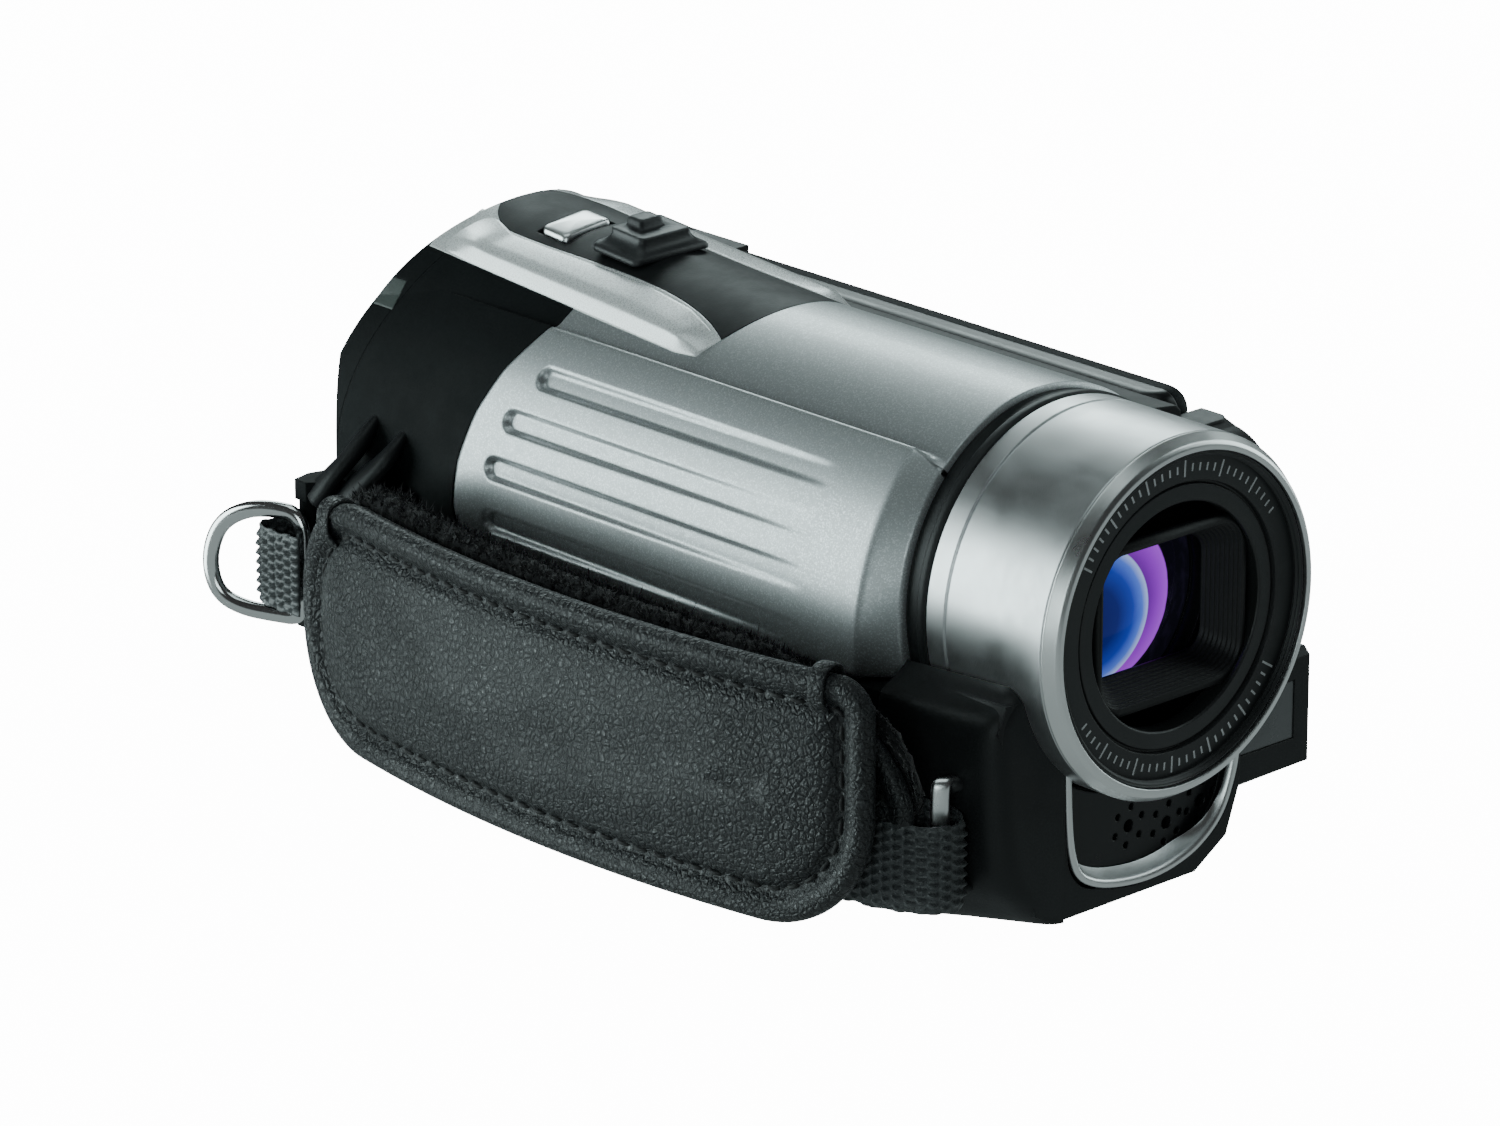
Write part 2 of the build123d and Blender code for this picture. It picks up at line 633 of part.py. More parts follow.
for node, start in (("zoom_group", 24.0), ("focus_group", 47.0)):
    with BuildPart() as group:
        lens_ring([(start, 0), (start + 0.8, 9), (start, 9), (start, 13.6),
                   (start + 3.6, 13.6), (start + 3.6, 9), (start + 2.8, 9), (start + 3.6, 0)])
    keep(group, node)

with BuildPart() as image_sensor:
    block(-7, 7, RIM_Y + 62.1, RIM_Y + 63.6, LENS_Z - 6, LENS_Z + 6)
    block(-12, 12, RIM_Y + 63.6, RIM_Y + 64.8, LENS_Z - 11, LENS_Z + 11)
keep(image_sensor, "image_sensor")

# ---- front housing with the microphone window ---------------------------------------
FRONT_Y = RIM_Y + 5.2  # front face of the chin
BLOCK_Y = RIM_Y + 8.5  # front face of the block beside it
BLOCK_X = 29.0
TERMINAL_Y0, TERMINAL_Y1 = -38.8, -30.2
BAR_X, BAR_Y = -26.4, -44.0  # metal bar that carries the front webbing
BAR_Z0, BAR_Z1 = 1.6, 18.6
with BuildPart() as strap_bar_form:
    with Locations((BAR_X, BAR_Y, (BAR_Z0 + BAR_Z1) / 2)):
        Cylinder(1.1, BAR_Z1 - BAR_Z0)
    for z in (BAR_Z0, BAR_Z1 - 1.8):
        block(BAR_X, -18.6, BAR_Y - 1.1, BAR_Y + 1.1, z, z + 1.8)


def microphone_outline(y, grow):
    """U-shaped window under the lens; its upper edge is cut off by the barrel."""
    with BuildSketch(face_at(y)) as window:
        with BuildLine():
            Polyline((-12.6, 22), (-12.2, 12), (-11.7, 7.6))
            ThreePointArc((-11.7, 7.6), (-10.6, 4.8), (-7.6, 3.4))
            ThreePointArc((-7.6, 3.4), (0.4, 2.2), (7.8, 4.0))
            ThreePointArc((7.8, 4.0), (11.2, 6.6), (12.9, 11))
            Polyline((12.9, 11), (14.0, 22), (-12.6, 22))
        make_face()
        if grow:
            offset(amount=grow, mode=Mode.REPLACE)
    return window.sketch


with BuildPart() as front_housing:
    with BuildSketch(face_at(FRONT_Y)) as chin_front:
        Polygon(
            (-22.3, 27.2), (-23.3, 24.2), (-20.8, 16), (-19.6, 7.6), (-17.3, 1.6),
            (-14.5, 0.2), (7.5, 0.3), (12.4, 3.4), (14.4, 9), (14.6, 27.2), align=None,
        )
    with BuildSketch(face_at(COVER_Y)) as chin_back:
        Polygon(
            (-21.5, 26.4), (-24.4, 24.9), (-25.1, 18), (-26.0, 9), (-26.4, 4.8),
            (-25.5, 0), (9.5, 0), (13.6, 0.4), (14.5, 6), (14.6, 26.4), align=None,
        )
    loft([chin_front.sketch, chin_back.sketch], ruled=True)
    with BuildSketch(Plane.YZ.offset(14)) as cheek:
        with BuildLine():
            Polyline(
                (COVER_Y, 0), (-34.5, 0), (BLOCK_Y, 7), (BLOCK_Y, 19.6), (-45.7, 20.5),
                (-41, 20.6), (-41, 37),
            )
            ThreePointArc((-41, 37), (-38.6, 41.6), (-34.4, 43.6))
            Polyline((-34.4, 43.6), (COVER_Y, 44.2), (COVER_Y, 0))
        make_face()
    extrude(cheek.sketch, amount=BLOCK_X - 14)
    block(INNER_WALL_X, OUTER_X, COVER_Y - 0.5, -28.6, LEDGE_Z, 44.2)
    fillet(
        front_housing.edges().filter_by(Axis.Z).sort_by(Axis.X)[-2:]
        .sort_by(Axis.Y)[0:1], radius=1.6,
    )
    disc_y(0, LENS_Z, RIM_Y, COVER_Y, BARREL_R + 0.35, mode=Mode.SUBTRACT)
    block(-25, 14.0, -56, COVER_Y, 28, 60, mode=Mode.SUBTRACT)
    block(-16, 11, -46, COVER_Y + 1, 2, 11, mode=Mode.SUBTRACT)
    extrude(microphone_outline(FRONT_Y, 0), amount=-2.8, mode=Mode.SUBTRACT)
    extrude(microphone_outline(FRONT_Y, 0.9), amount=-1.6, mode=Mode.SUBTRACT)
    block(15.0, 26.6, BLOCK_Y - 1, BLOCK_Y + 0.8, 10.2, 17.2, mode=Mode.SUBTRACT)
    block(22.5, BLOCK_X + 1, TERMINAL_Y0, TERMINAL_Y1, 11.8, 36.2, mode=Mode.SUBTRACT)
    block(24.6, 27.4, -42, -39.4, 23.6, 33.4, mode=Mode.SUBTRACT)
    add(strap_bar_form.part, mode=Mode.SUBTRACT)
keep(front_housing, "front_housing")

with BuildPart() as microphone_trim:
    extrude(microphone_outline(FRONT_Y - 0.4, 0.9), amount=-2.0)
    extrude(microphone_outline(FRONT_Y - 0.4, 0), amount=-2.0, mode=Mode.SUBTRACT)
    disc_y(0, LENS_Z, RIM_Y, COVER_Y, BARREL_R + 0.5, mode=Mode.SUBTRACT)
    block(-20, 20, -56, COVER_Y, 19, 60, mode=Mode.SUBTRACT)
keep(microphone_trim, "microphone_trim")

HOLE_GROUPS = ((-1.4, 7.6), (4.6, 6.4), (9.9, 7.6))
with BuildPart() as microphone_grille:
    extrude(microphone_outline(FRONT_Y + 1.7, 0), amount=-1.1)
    disc_y(0, LENS_Z, RIM_Y, COVER_Y, BARREL_R + 0.5, mode=Mode.SUBTRACT)
    block(-20, 20, -56, COVER_Y, 19, 60, mode=Mode.SUBTRACT)
    for x, z in HOLE_GROUPS:
        disc_y(x, z, FRONT_Y, FRONT_Y + 4, 0.75, mode=Mode.SUBTRACT)
        for turn in range(6):
            angle = radians(60 * turn + 20)
            disc_y(
                x + 2.2 * cos(angle), z + 2.2 * sin(angle), FRONT_Y, FRONT_Y + 4, 0.42,
                mode=Mode.SUBTRACT,
            )
keep(microphone_grille, "microphone_grille")

with BuildPart() as microphones:
    for x in (-4.0, 6.0):
        disc_y(x, 6.5, -45.9, -42.5, 2.6)
keep(microphones, "microphones")

with BuildPart() as sensor_window:
    block(15.1, 26.5, BLOCK_Y + 0.1, BLOCK_Y + 0.7, 10.3, 17.1)
keep(sensor_window, "sensor_window")

with BuildPart() as lens_cover_switch:
    block(24.9, 27.1, -42.0, -39.8, 24.0, 29.0)
    with Locations(*[(26, -42.0, z) for z in (25.3, 26.5, 27.7)]):
        Box(2.2, 0.5, 0.4, mode=Mode.SUBTRACT)
keep(lens_cover_switch, "lens_cover_switch")

with BuildPart() as terminals:
    block(22.6, 26.8, TERMINAL_Y0 + 0.2, TERMINAL_Y1 - 0.2, 12.0, 36.0)
    terminal_y = (TERMINAL_Y0 + TERMINAL_Y1) / 2
    for z in (16.0, 24.0):
        with Locations((26, terminal_y, z)):
            Box(4, 5.0, 3.0, mode=Mode.SUBTRACT)
    with Locations(Location((26, terminal_y, 31.6), (0, 90, 0))):
        Cylinder(1.8, 4, mode=Mode.SUBTRACT)
keep(terminals, "terminals")

with BuildPart() as terminal_cover:
    block(27.4, BLOCK_X, TERMINAL_Y0 + CLEAR, TERMINAL_Y1 - CLEAR, 12.1, 35.9)
    fillet(terminal_cover.edges().filter_by(Axis.Y).sort_by(Axis.X)[-2:], radius=0.5)
keep(terminal_cover, "terminal_cover")

# ---- screen -------------------------------------------------------------------------
SCREEN_Z0, SCREEN_Z1 = LEDGE_Z + 0.4, SCREEN_TOP - 0.2
SHELL_SPLIT_X = HINGE_X + 0.2
NOTCH_Z0, NOTCH_Z1 = 13.0, 39.0
NOTCH_BACK = -19.3
DISPLAY = (-15.8, 44.0, 9.6, 43.2)  # y and z span of the glass
with BuildPart() as screen_form:
    with BuildSketch(Plane.XY.offset(SCREEN_Z0)) as plan:
        with Locations((HINGE_X, HINGE_Y)):
            Circle(SCREEN_T / 2)
        with Locations((HINGE_X, (HINGE_Y + SCREEN_BACK) / 2)):
            Rectangle(SCREEN_T, SCREEN_BACK - HINGE_Y)
    extrude(plan.sketch, amount=SCREEN_Z1 - SCREEN_Z0)
    long_edges = screen_form.edges().filter_by(Axis.Y)
    fillet(long_edges.sort_by(Axis.X)[-2:], radius=2.6)
    block(23.9, 28.5, -14, 43.6, SCREEN_Z0 + 1.8, SCREEN_Z1 - 1.8, mode=Mode.SUBTRACT)
    block(20, 32, -40, NOTCH_BACK, NOTCH_Z0, NOTCH_Z1, mode=Mode.SUBTRACT)
    with Locations(Location((HINGE_X, NOTCH_BACK, 26), (90, 0, 0))):
        Cylinder(2.1, 6, mode=Mode.SUBTRACT)

with BuildPart() as screen_shell:
    add(screen_form.part)
    block(SHELL_SPLIT_X, 40, -60, 60, -5, 60, mode=Mode.INTERSECT)
keep(screen_shell, "screen_shell")

ROCKER_Y, RECORD_KEY_Y, KEY_Z = 8.0, -9.0, 7.2
with BuildPart() as screen_bezel:
    add(screen_form.part)
    block(10, SHELL_SPLIT_X, -60, 60, -5, 60, mode=Mode.INTERSECT)
    block(20, 24, *DISPLAY, mode=Mode.SUBTRACT)
    block(20, 28, ROCKER_Y - 5, ROCKER_Y + 5, KEY_Z - 1, KEY_Z + 1, mode=Mode.SUBTRACT)
    block(20, 28, RECORD_KEY_Y - 3, RECORD_KEY_Y + 3, KEY_Z - 1, KEY_Z + 1, mode=Mode.SUBTRACT)
keep(screen_bezel, "screen_bezel")

with BuildPart() as screen_display:
    block(SCREEN_X + 0.2, 23.8, *DISPLAY)
keep(screen_display, "screen_display")

for node, y, half in (
    ("screen_record_key", RECORD_KEY_Y, 2.7),
    ("screen_zoom_rocker", ROCKER_Y, 4.7),
):
    with BuildPart() as key:
        block(SCREEN_X + 0.15, 24.4, y - half, y + half, KEY_Z - 0.75, KEY_Z + 0.75)
    keep(key, node)

HINGE_PIN_R = 1.2
with BuildPart() as hinge_block:
    with Locations((HINGE_X, HINGE_Y, 26)):
        Cylinder(3.5, 17.2)
        Cylinder(HINGE_PIN_R + 0.05, 30, mode=Mode.SUBTRACT)
    with Locations(Location((HINGE_X, -19.0, 26), (90, 0, 0))):
        Cylinder(2.05, 5)
keep(hinge_block, "hinge_block")

with BuildPart() as hinge_bracket:
    for z in (13.3, 35.0):
        with BuildSketch(Plane.XY.offset(z)) as lug:
            with Locations((HINGE_X, HINGE_Y)):
                Circle(2.9)
            with Locations(((INNER_WALL_X + HINGE_X) / 2, HINGE_Y)):
                Rectangle(HINGE_X - INNER_WALL_X, 5.2)
            with Locations((HINGE_X, HINGE_Y)):
                Circle(HINGE_PIN_R, mode=Mode.SUBTRACT)
        extrude(lug.sketch, amount=3.7)
    block(*BRACKET_PLATE)
keep(hinge_bracket, "hinge_bracket")

with BuildPart() as hinge_pin:
    with Locations((HINGE_X, HINGE_Y, 26)):
        Cylinder(HINGE_PIN_R, 25.4)
keep(hinge_pin, "hinge_pin")

# ---- inside the body ----------------------------------------------------------------
with BuildPart() as main_board:
    block(17.0, 18.2, -26, 44, 7, 43)
    for y, z, size in ((-8, 16, 10), (12, 30, 12), (30, 14, 8)):
        block(16.1, 17.0, y - size / 2, y + size / 2, z - size / 2, z + size / 2)
    block(
        10, 30, SPEAKER_Y - 6, SPEAKER_Y + 6, SPEAKER_Z - 6, SPEAKER_Z + 15,
        mode=Mode.SUBTRACT,
    )
keep(main_board, "main_board")

with BuildPart() as chassis_frame:
    block(-21, 15.6, -28, 46.5, 12.2, 13.6)
    for y in (-22.0, 2.0):
        block(-12, 12, y, y + 2, 13.6, 17.6)
    with Locations(*[(x, y, 9.4) for x, y in SCREW_SPOTS]):
        Cylinder(2.4, 5.6)
        Cylinder(0.95, 5.6, mode=Mode.SUBTRACT)
keep(chassis_frame, "chassis_frame")

# ---- hand strap ---------------------------------------------------------------------
STRAP_CENTRE_X = STRAP_X + STRAP_R
STRAP_CENTRE_Y = (STRAP_Y0 + STRAP_Y1) / 2


def strap_x(y, depth):
    """X of the strap's surface that lies depth inside its outer face, at y."""
    radius = STRAP_R - depth
    return STRAP_CENTRE_X - sqrt(radius**2 - (y - STRAP_CENTRE_Y) ** 2)


def bowed_slab(y0, y1, z0, z1, outer, inner):
    """Upright slab between two depths inside the strap's outer face."""
    middle = (y0 + y1) / 2
    with BuildSketch(Plane.XY.offset(z0)) as plan:
        with BuildLine():
            ThreePointArc(
                (strap_x(y0, outer), y0), (strap_x(middle, outer), middle),
                (strap_x(y1, outer), y1),
            )
            Line((strap_x(y1, outer), y1), (strap_x(y1, inner), y1))
            ThreePointArc(
                (strap_x(y1, inner), y1), (strap_x(middle, inner), middle),
                (strap_x(y0, inner), y0),
            )
            Line((strap_x(y0, inner), y0), (strap_x(y0, outer), y0))
        make_face()
    extrude(plan.sketch, amount=z1 - z0)


def round_ends(y0, y1, z0, z1, radius):
    """Keeps what lies inside a rounded rectangle in side view."""
    with BuildSketch(Plane.YZ.offset(-60)) as view:
        with Locations(((y0 + y1) / 2, (z0 + z1) / 2)):
            RectangleRounded(y1 - y0, z1 - z0, radius)
    extrude(view.sketch, amount=60, mode=Mode.INTERSECT)


PAD_DEPTH, TAB_DEPTH, LINING_DEPTH = 4.6, 6.2, 7.8
LINING_Y0, LINING_Y1 = -27.7, 49.0
with BuildPart() as strap_pad:
    bowed_slab(STRAP_Y0 - 4, STRAP_Y1 + 4, STRAP_Z0 - 4, STRAP_Z1 + 4, 0, PAD_DEPTH)
    round_ends(STRAP_Y0, STRAP_Y1, STRAP_Z0, STRAP_Z1, 12)
keep(strap_pad, "strap_pad")

with BuildPart() as strap_lining:
    bowed_slab(LINING_Y0, LINING_Y1, STRAP_Z0 + 1, STRAP_Z1 - 0.5, PAD_DEPTH, LINING_DEPTH)
    bowed_slab(-41, LINING_Y0 + 1, 15, 25.5, TAB_DEPTH, LINING_DEPTH)
keep(strap_lining, "strap_lining")

with BuildPart() as strap_tab:
    bowed_slab(-44.5, LINING_Y0, 14.8, 24.8, PAD_DEPTH, TAB_DEPTH)
    with BuildSketch(Plane.YZ.offset(-60)) as tab_side:
        with BuildLine():
            Polyline((-20, 14.8), (-20, 24.8), (-36, 24.4))
            ThreePointArc((-36, 24.4), (-41.4, 21.6), (-44.3, 15.8))
            Polyline((-44.3, 15.8), (-44.3, 14.8), (-20, 14.8))
        make_face()
    extrude(tab_side.sketch, amount=60, mode=Mode.INTERSECT)
keep(strap_tab, "strap_tab")

WEBBING = 1.2


def webbing(path, z0, z1):
    """An upright band of webbing that follows a path seen from above."""
    with BuildSketch(Plane.XY.offset(z0)) as band:
        with BuildLine() as route:
            Polyline(*path)
        trace(route.edges(), line_width=WEBBING)
    extrude(band.sketch, amount=z1 - z0)


with BuildPart() as front_webbing:
    webbing(
        [
            (strap_x(-29, 5.25), -29), (strap_x(-42, 5.25), -42), (-28.6, -45.9),
            (-26.6, -46.6), (-24.8, -46.1), (-24.1, -44.4), (-24.9, -42.4),
            (strap_x(-38, 6.6), -38), (strap_x(-29, 6.6), -29),
        ],
        3.6, 14.5,
    )
keep(front_webbing, "front_webbing")

with BuildPart() as strap_bar:
    add(strap_bar_form.part)
keep(strap_bar, "strap_bar")

RING_X, RING_Y = -32.6, 55.2  # upright bar of the strap ring
RING_Z0, RING_Z1 = 11.2, 25.9
RING_HIGH = RING_Z1 - RING_Z0
with BuildPart() as rear_webbing:
    webbing(
        [
            (-35.3, 52.6), (-35.7, 59.6), (-33.6, 60.8), (-28.3, 59.0), (-28.3, 55.0),
            (-32.2, 52.6),
        ],
        13.6, 23.4,
    )
keep(rear_webbing, "rear_webbing")

RING_OUT, RING_WIRE = 14.5, 1.8
ring_plane = Plane(
    origin=(RING_X, RING_Y, (RING_Z0 + RING_Z1) / 2), x_dir=(-0.35, 0.94, 0),
    z_dir=(0.94, 0.35, 0),
)
with BuildPart() as strap_ring:
    with BuildSketch(ring_plane) as loop:
        for grow, mode in ((0, Mode.ADD), (-2 * RING_WIRE, Mode.SUBTRACT)):
            with Locations((RING_OUT / 2 - 0.9, 0)):
                RectangleRounded(RING_OUT + grow, RING_HIGH + grow, 5.4 + grow / 2, mode=mode)
            with Locations((2.1, 0)):
                Rectangle(6, RING_HIGH + grow, mode=mode)
    extrude(loop.sketch, amount=0.8, both=True)
    with Locations((RING_X, RING_Y, (RING_Z0 + RING_Z1) / 2)):
        Cylinder(0.9, RING_HIGH - 2.4)
keep(strap_ring, "strap_ring")
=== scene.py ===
"""Looks of a handheld camcorder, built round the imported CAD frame. Lengths in this file's
tables are millimetres in the row frame; they become metres when a mesh is made."""

import json
import math

import bpy
import numpy as np
from mathutils import Matrix, Vector


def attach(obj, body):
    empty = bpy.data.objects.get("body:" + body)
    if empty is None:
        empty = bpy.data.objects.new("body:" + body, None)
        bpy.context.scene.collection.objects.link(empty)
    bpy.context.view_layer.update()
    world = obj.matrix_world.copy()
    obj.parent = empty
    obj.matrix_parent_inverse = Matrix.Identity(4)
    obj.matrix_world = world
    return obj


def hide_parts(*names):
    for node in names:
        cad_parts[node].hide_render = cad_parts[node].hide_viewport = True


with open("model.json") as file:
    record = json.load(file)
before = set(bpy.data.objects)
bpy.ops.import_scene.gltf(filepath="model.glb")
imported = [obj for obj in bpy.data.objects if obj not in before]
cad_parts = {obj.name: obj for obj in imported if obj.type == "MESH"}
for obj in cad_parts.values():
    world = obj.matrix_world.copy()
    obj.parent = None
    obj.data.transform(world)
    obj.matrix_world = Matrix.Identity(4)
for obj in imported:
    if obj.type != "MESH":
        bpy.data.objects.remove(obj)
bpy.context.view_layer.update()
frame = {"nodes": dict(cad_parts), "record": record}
NODES = frame["nodes"]
MM = 0.001

LENS_Z, RIM_Y = 33.0, -55.0  # lens axis height and plane of the lens rim
STRAP_R = 187.0  # plan radius of the strap's outer face
STRAP_CENTRE = (144.5, 4.25)
STRAP_SPAN = (-47.75, 47.75, 1.0, 31.3)  # along the strap from its middle, then z


# ---- materials ----------------------------------------------------------------------
class Look:
    """A Principled material that is put together from small procedural nodes."""

    def __init__(self, name, base, rough=0.5, metallic=0.0, coat=0.0, coat_rough=0.1, **sockets):
        self.mat = bpy.data.materials.new(name)
        self.mat.use_nodes = True
        self.mat.diffuse_color = (*base[:3], 1)
        self.tree = self.mat.node_tree
        self.bsdf = self.tree.nodes["Principled BSDF"]
        self.base = base
        self.set("Base Color", (*base[:3], 1))
        self.set("Roughness", rough)
        self.set("Metallic", metallic)
        self.set("Coat Weight", coat)
        self.set("Coat Roughness", coat_rough)
        for key, value in sockets.items():
            self.set(key.replace("_", " "), value)
        self.place = self.node("ShaderNodeTexCoord").outputs["Object"]
        self.normal = None

    def set(self, socket, value):
        self.bsdf.inputs[socket].default_value = value

    def node(self, kind, **inputs):
        made = self.tree.nodes.new(kind)
        for key, value in inputs.items():
            target = made.inputs[int(key[1:])] if key[1:].isdigit() else made.inputs[key.replace("_", " ")]
            if isinstance(value, bpy.types.NodeSocket):
                self.tree.links.new(value, target)
            else:
                target.default_value = value
        return made

    def feed(self, socket, value):
        self.tree.links.new(value, self.bsdf.inputs[socket])

    def stretched(self, x, y, z):
        made = self.node("ShaderNodeMapping", Vector=self.place)
        made.inputs["Scale"].default_value = (x, y, z)
        return made.outputs["Vector"]

    def noise(self, scale, detail=3.0, rough=0.55, where=None, distort=0.0):
        made = self.node(
            "ShaderNodeTexNoise", Vector=where or self.place, Scale=scale, Detail=detail,
            Roughness=rough, Distortion=distort,
        )
        return made.outputs["Fac"]

    def cells(self, scale, feature="F1", out="Distance", where=None, spread=1.0):
        made = self.node("ShaderNodeTexVoronoi", Vector=where or self.place, Scale=scale, Randomness=spread)
        made.feature = feature
        return made.outputs[out]

    def math(self, operation, a, b=0.0):
        made = self.node("ShaderNodeMath", i0=a, i1=b)
        made.operation = operation
        return made.outputs[0]

    def span(self, value, low, high, to_low=0.0, to_high=1.0):
        made = self.node("ShaderNodeMapRange", i0=value, i1=low, i2=high, i3=to_low, i4=to_high)
        return made.outputs[0]

    def blend(self, amount, first, second):
        made = self.node("ShaderNodeMix")
        made.data_type = "RGBA"
        for key, value in ((0, amount), (6, first), (7, second)):
            if isinstance(value, bpy.types.NodeSocket):
                self.tree.links.new(value, made.inputs[key])
            else:
                made.inputs[key].default_value = (*value[:3], 1) if key else value
        return made.outputs[2]

    def ramp(self, value, stops):
        made = self.node("ShaderNodeValToRGB", Fac=value)
        bar = made.color_ramp
        while len(bar.elements) < len(stops):
            bar.elements.new(0.5)
        for element, (place, colour) in zip(bar.elements, stops):
            element.position = place
            element.color = (*colour, 1)
        return made.outputs["Color"]

    def bump(self, height, distance, strength=1.0):
        made = self.node("ShaderNodeBump", Height=height, Strength=strength, Distance=distance)
        if self.normal is not None:
            self.tree.links.new(self.normal, made.inputs["Normal"])
        self.normal = made.outputs["Normal"]
        self.feed("Normal", self.normal)

    def soft_edges(self, radius):
        made = self.node("ShaderNodeBevel", Radius=radius)
        made.samples = 4
        self.normal = made.outputs["Normal"]
        self.feed("Normal", self.normal)

    def tint(self, value, dark, light):
        """Base colour that runs from dark to light times the base as value goes 0 to 1."""
        low = [c * dark for c in self.base[:3]]
        high = [min(1, c * light) for c in self.base[:3]]
        self.feed("Base Color", self.blend(value, low, high))


def moulded(name, base, rough, grain=3200, depth=0.00003, edge=0.0003, coat=0.0, coat_rough=0.12, **more):
    """Moulded plastic: fine spark texture, faint clouding, rubbed roughness, soft edges."""
    look = Look(name, base, rough, coat=coat, coat_rough=coat_rough, **more)
    look.soft_edges(edge)
    cloud = look.noise(70, 4, 0.6)
    look.tint(look.span(cloud, 0.3, 0.7), 0.82, 1.22)
    rub = look.noise(160, 5, 0.65)
    look.feed("Roughness", look.span(rub, 0.25, 0.75, rough - 0.06, rough + 0.09))
    look.bump(look.noise(grain, 2, 0.5), depth, 0.6)
    return look.mat


def metal(name, base, rough, turned=0.0, edge=0.00015, along=(1, 1, 1), depth=0.000004, coat=0.0):
    """Bare or plated metal with handling smudges and, if turned, fine lathe lines."""
    look = Look(name, base, rough, 1.0, coat=coat)
    look.soft_edges(edge)
    smudge = look.noise(90, 5, 0.7, distort=0.4)
    look.feed("Roughness", look.span(smudge, 0.25, 0.75, rough * 0.8, rough * 1.3 + 0.02))
    look.tint(look.span(look.noise(45, 3), 0.3, 0.7), 0.93, 1.05)
    if turned:
        lines = look.noise(turned, 2, 0.5, look.stretched(*along))
        look.bump(lines, depth, 0.35)
    return look.mat


def flake_paint(name, base, rough=0.34, flake=7500.0, sparkle=0.4, metallic=0.82, coat=0.35, shine=0.5):
    """Silver paint: metal flakes of varied brightness under a thin clear coat."""
    look = Look(name, base, rough, metallic, coat=coat, coat_rough=0.16, Specular_IOR_Level=shine)
    look.soft_edges(0.00025)
    chips = look.cells(flake, out="Color")
    grey = look.node("ShaderNodeSeparateColor", i0=chips).outputs[0]
    bright = look.span(grey, 0.72, 1.0)
    clouds = look.span(look.noise(40, 2), 0.3, 0.7, -0.03, 0.03)
    soft = look.math("MULTIPLY", grey, 0.3)
    value = look.math("ADD", look.math("ADD", soft, bright), clouds)
    look.tint(value, 1 - sparkle * 0.16, 1 + sparkle * 0.75)
    look.feed("Roughness", look.span(grey, 0, 1, rough + 0.05, rough - 0.08))
    look.bump(grey, 0.000004, 0.14)
    return look.mat


def leather(name, base):
    """Grained leather: pebbles in two sizes with painted shade darkening the creases between them, lighter on the
    pebble tops.
    """
    look = Look(name, base, 0.36, coat=0.12, coat_rough=0.24)
    wander = look.node("ShaderNodeTexNoise", Vector=look.place, Scale=500.0, Detail=2.0)
    shift = look.node("ShaderNodeVectorMath", i0=wander.outputs["Color"], i1=(0.5, 0.5, 0.5))
    shift.operation = "SUBTRACT"
    scaled = look.node("ShaderNodeVectorMath", i0=shift.outputs[0])
    scaled.operation = "SCALE"
    scaled.inputs["Scale"].default_value = 0.0006
    moved = look.node("ShaderNodeVectorMath", i0=look.place, i1=scaled.outputs[0]).outputs[0]
    pebble = look.cells(1150, "DISTANCE_TO_EDGE", where=moved)
    fine = look.cells(2900, "DISTANCE_TO_EDGE", where=moved)
    crease = look.span(pebble, 0.0, 0.22)
    small = look.span(fine, 0.0, 0.3)
    height = look.math("ADD", crease, look.math("MULTIPLY", small, 0.35))
    # painted shade: darkest in the creases and lightest on the pebble tops, with a noise varying how strongly
    crease_shade = look.math("MULTIPLY", height, look.span(look.noise(60, 4), 0.25, 0.8, 0.55, 1.0))
    look.tint(crease_shade, 0.45, 1.25)
    look.feed("Roughness", look.span(height, 0, 1.35, 0.58, 0.27))
    look.bump(look.noise(120, 4, 0.6), 0.0004, 0.3)
    look.bump(height, 0.00016, 0.9)
    return look.mat


def woven(name, base, rough=0.7, grain=4200, sheen=0.15, depth=0.00006):
    """Fibres: fine streaks and fuzz, with a little sheen."""
    look = Look(name, base, rough, Sheen_Weight=sheen, Sheen_Roughness=0.5)
    fibre = look.noise(grain, 4, 0.7, look.stretched(1, 0.35, 1))
    look.tint(fibre, 0.5, 1.7)
    look.feed("Roughness", look.span(fibre, 0.3, 0.7, rough - 0.15, rough + 0.12))
    look.bump(fibre, depth, 0.8)
    return look.mat


def painted_reflection_glass(name):
    """Front element: dark, with a painted blue reflection at its centre and a painted magenta reflection round its rim,
    both also glowing.
    """
    look = Look(name, (0.01, 0.01, 0.02), 0.08, coat=0.0, IOR=1.3)
    split = look.node("ShaderNodeSeparateXYZ", Vector=look.place)
    haze = look.span(look.noise(500, 2), 0.3, 0.7, -0.006, 0.006)
    painted_reflections, radii = [], []
    for middle_x, middle_z, reach, stops in PAINTED_COATING_REFLECTIONS:
        x = look.math("SUBTRACT", split.outputs[0], middle_x * MM)
        z = look.math("SUBTRACT", split.outputs[2], (LENS_Z + middle_z) * MM)
        square = look.math("ADD", look.math("MULTIPLY", x, x), look.math("MULTIPLY", z, z))
        radius = look.math("SQRT", square)
        radii.append(radius)
        painted_reflections.append(look.ramp(look.math("ADD", look.span(radius, 0, reach * MM), haze), stops))
    colour = look.blend(look.span(radii[0], 8.55 * MM, 8.75 * MM), *painted_reflections)
    # painted reflections: the blue and magenta coating reflections go into base colour and emission, so the glass glows
    # with them
    look.feed("Base Color", colour)
    look.feed("Emission Color", colour)
    look.set("Emission Strength", 0.85)
    return look.mat
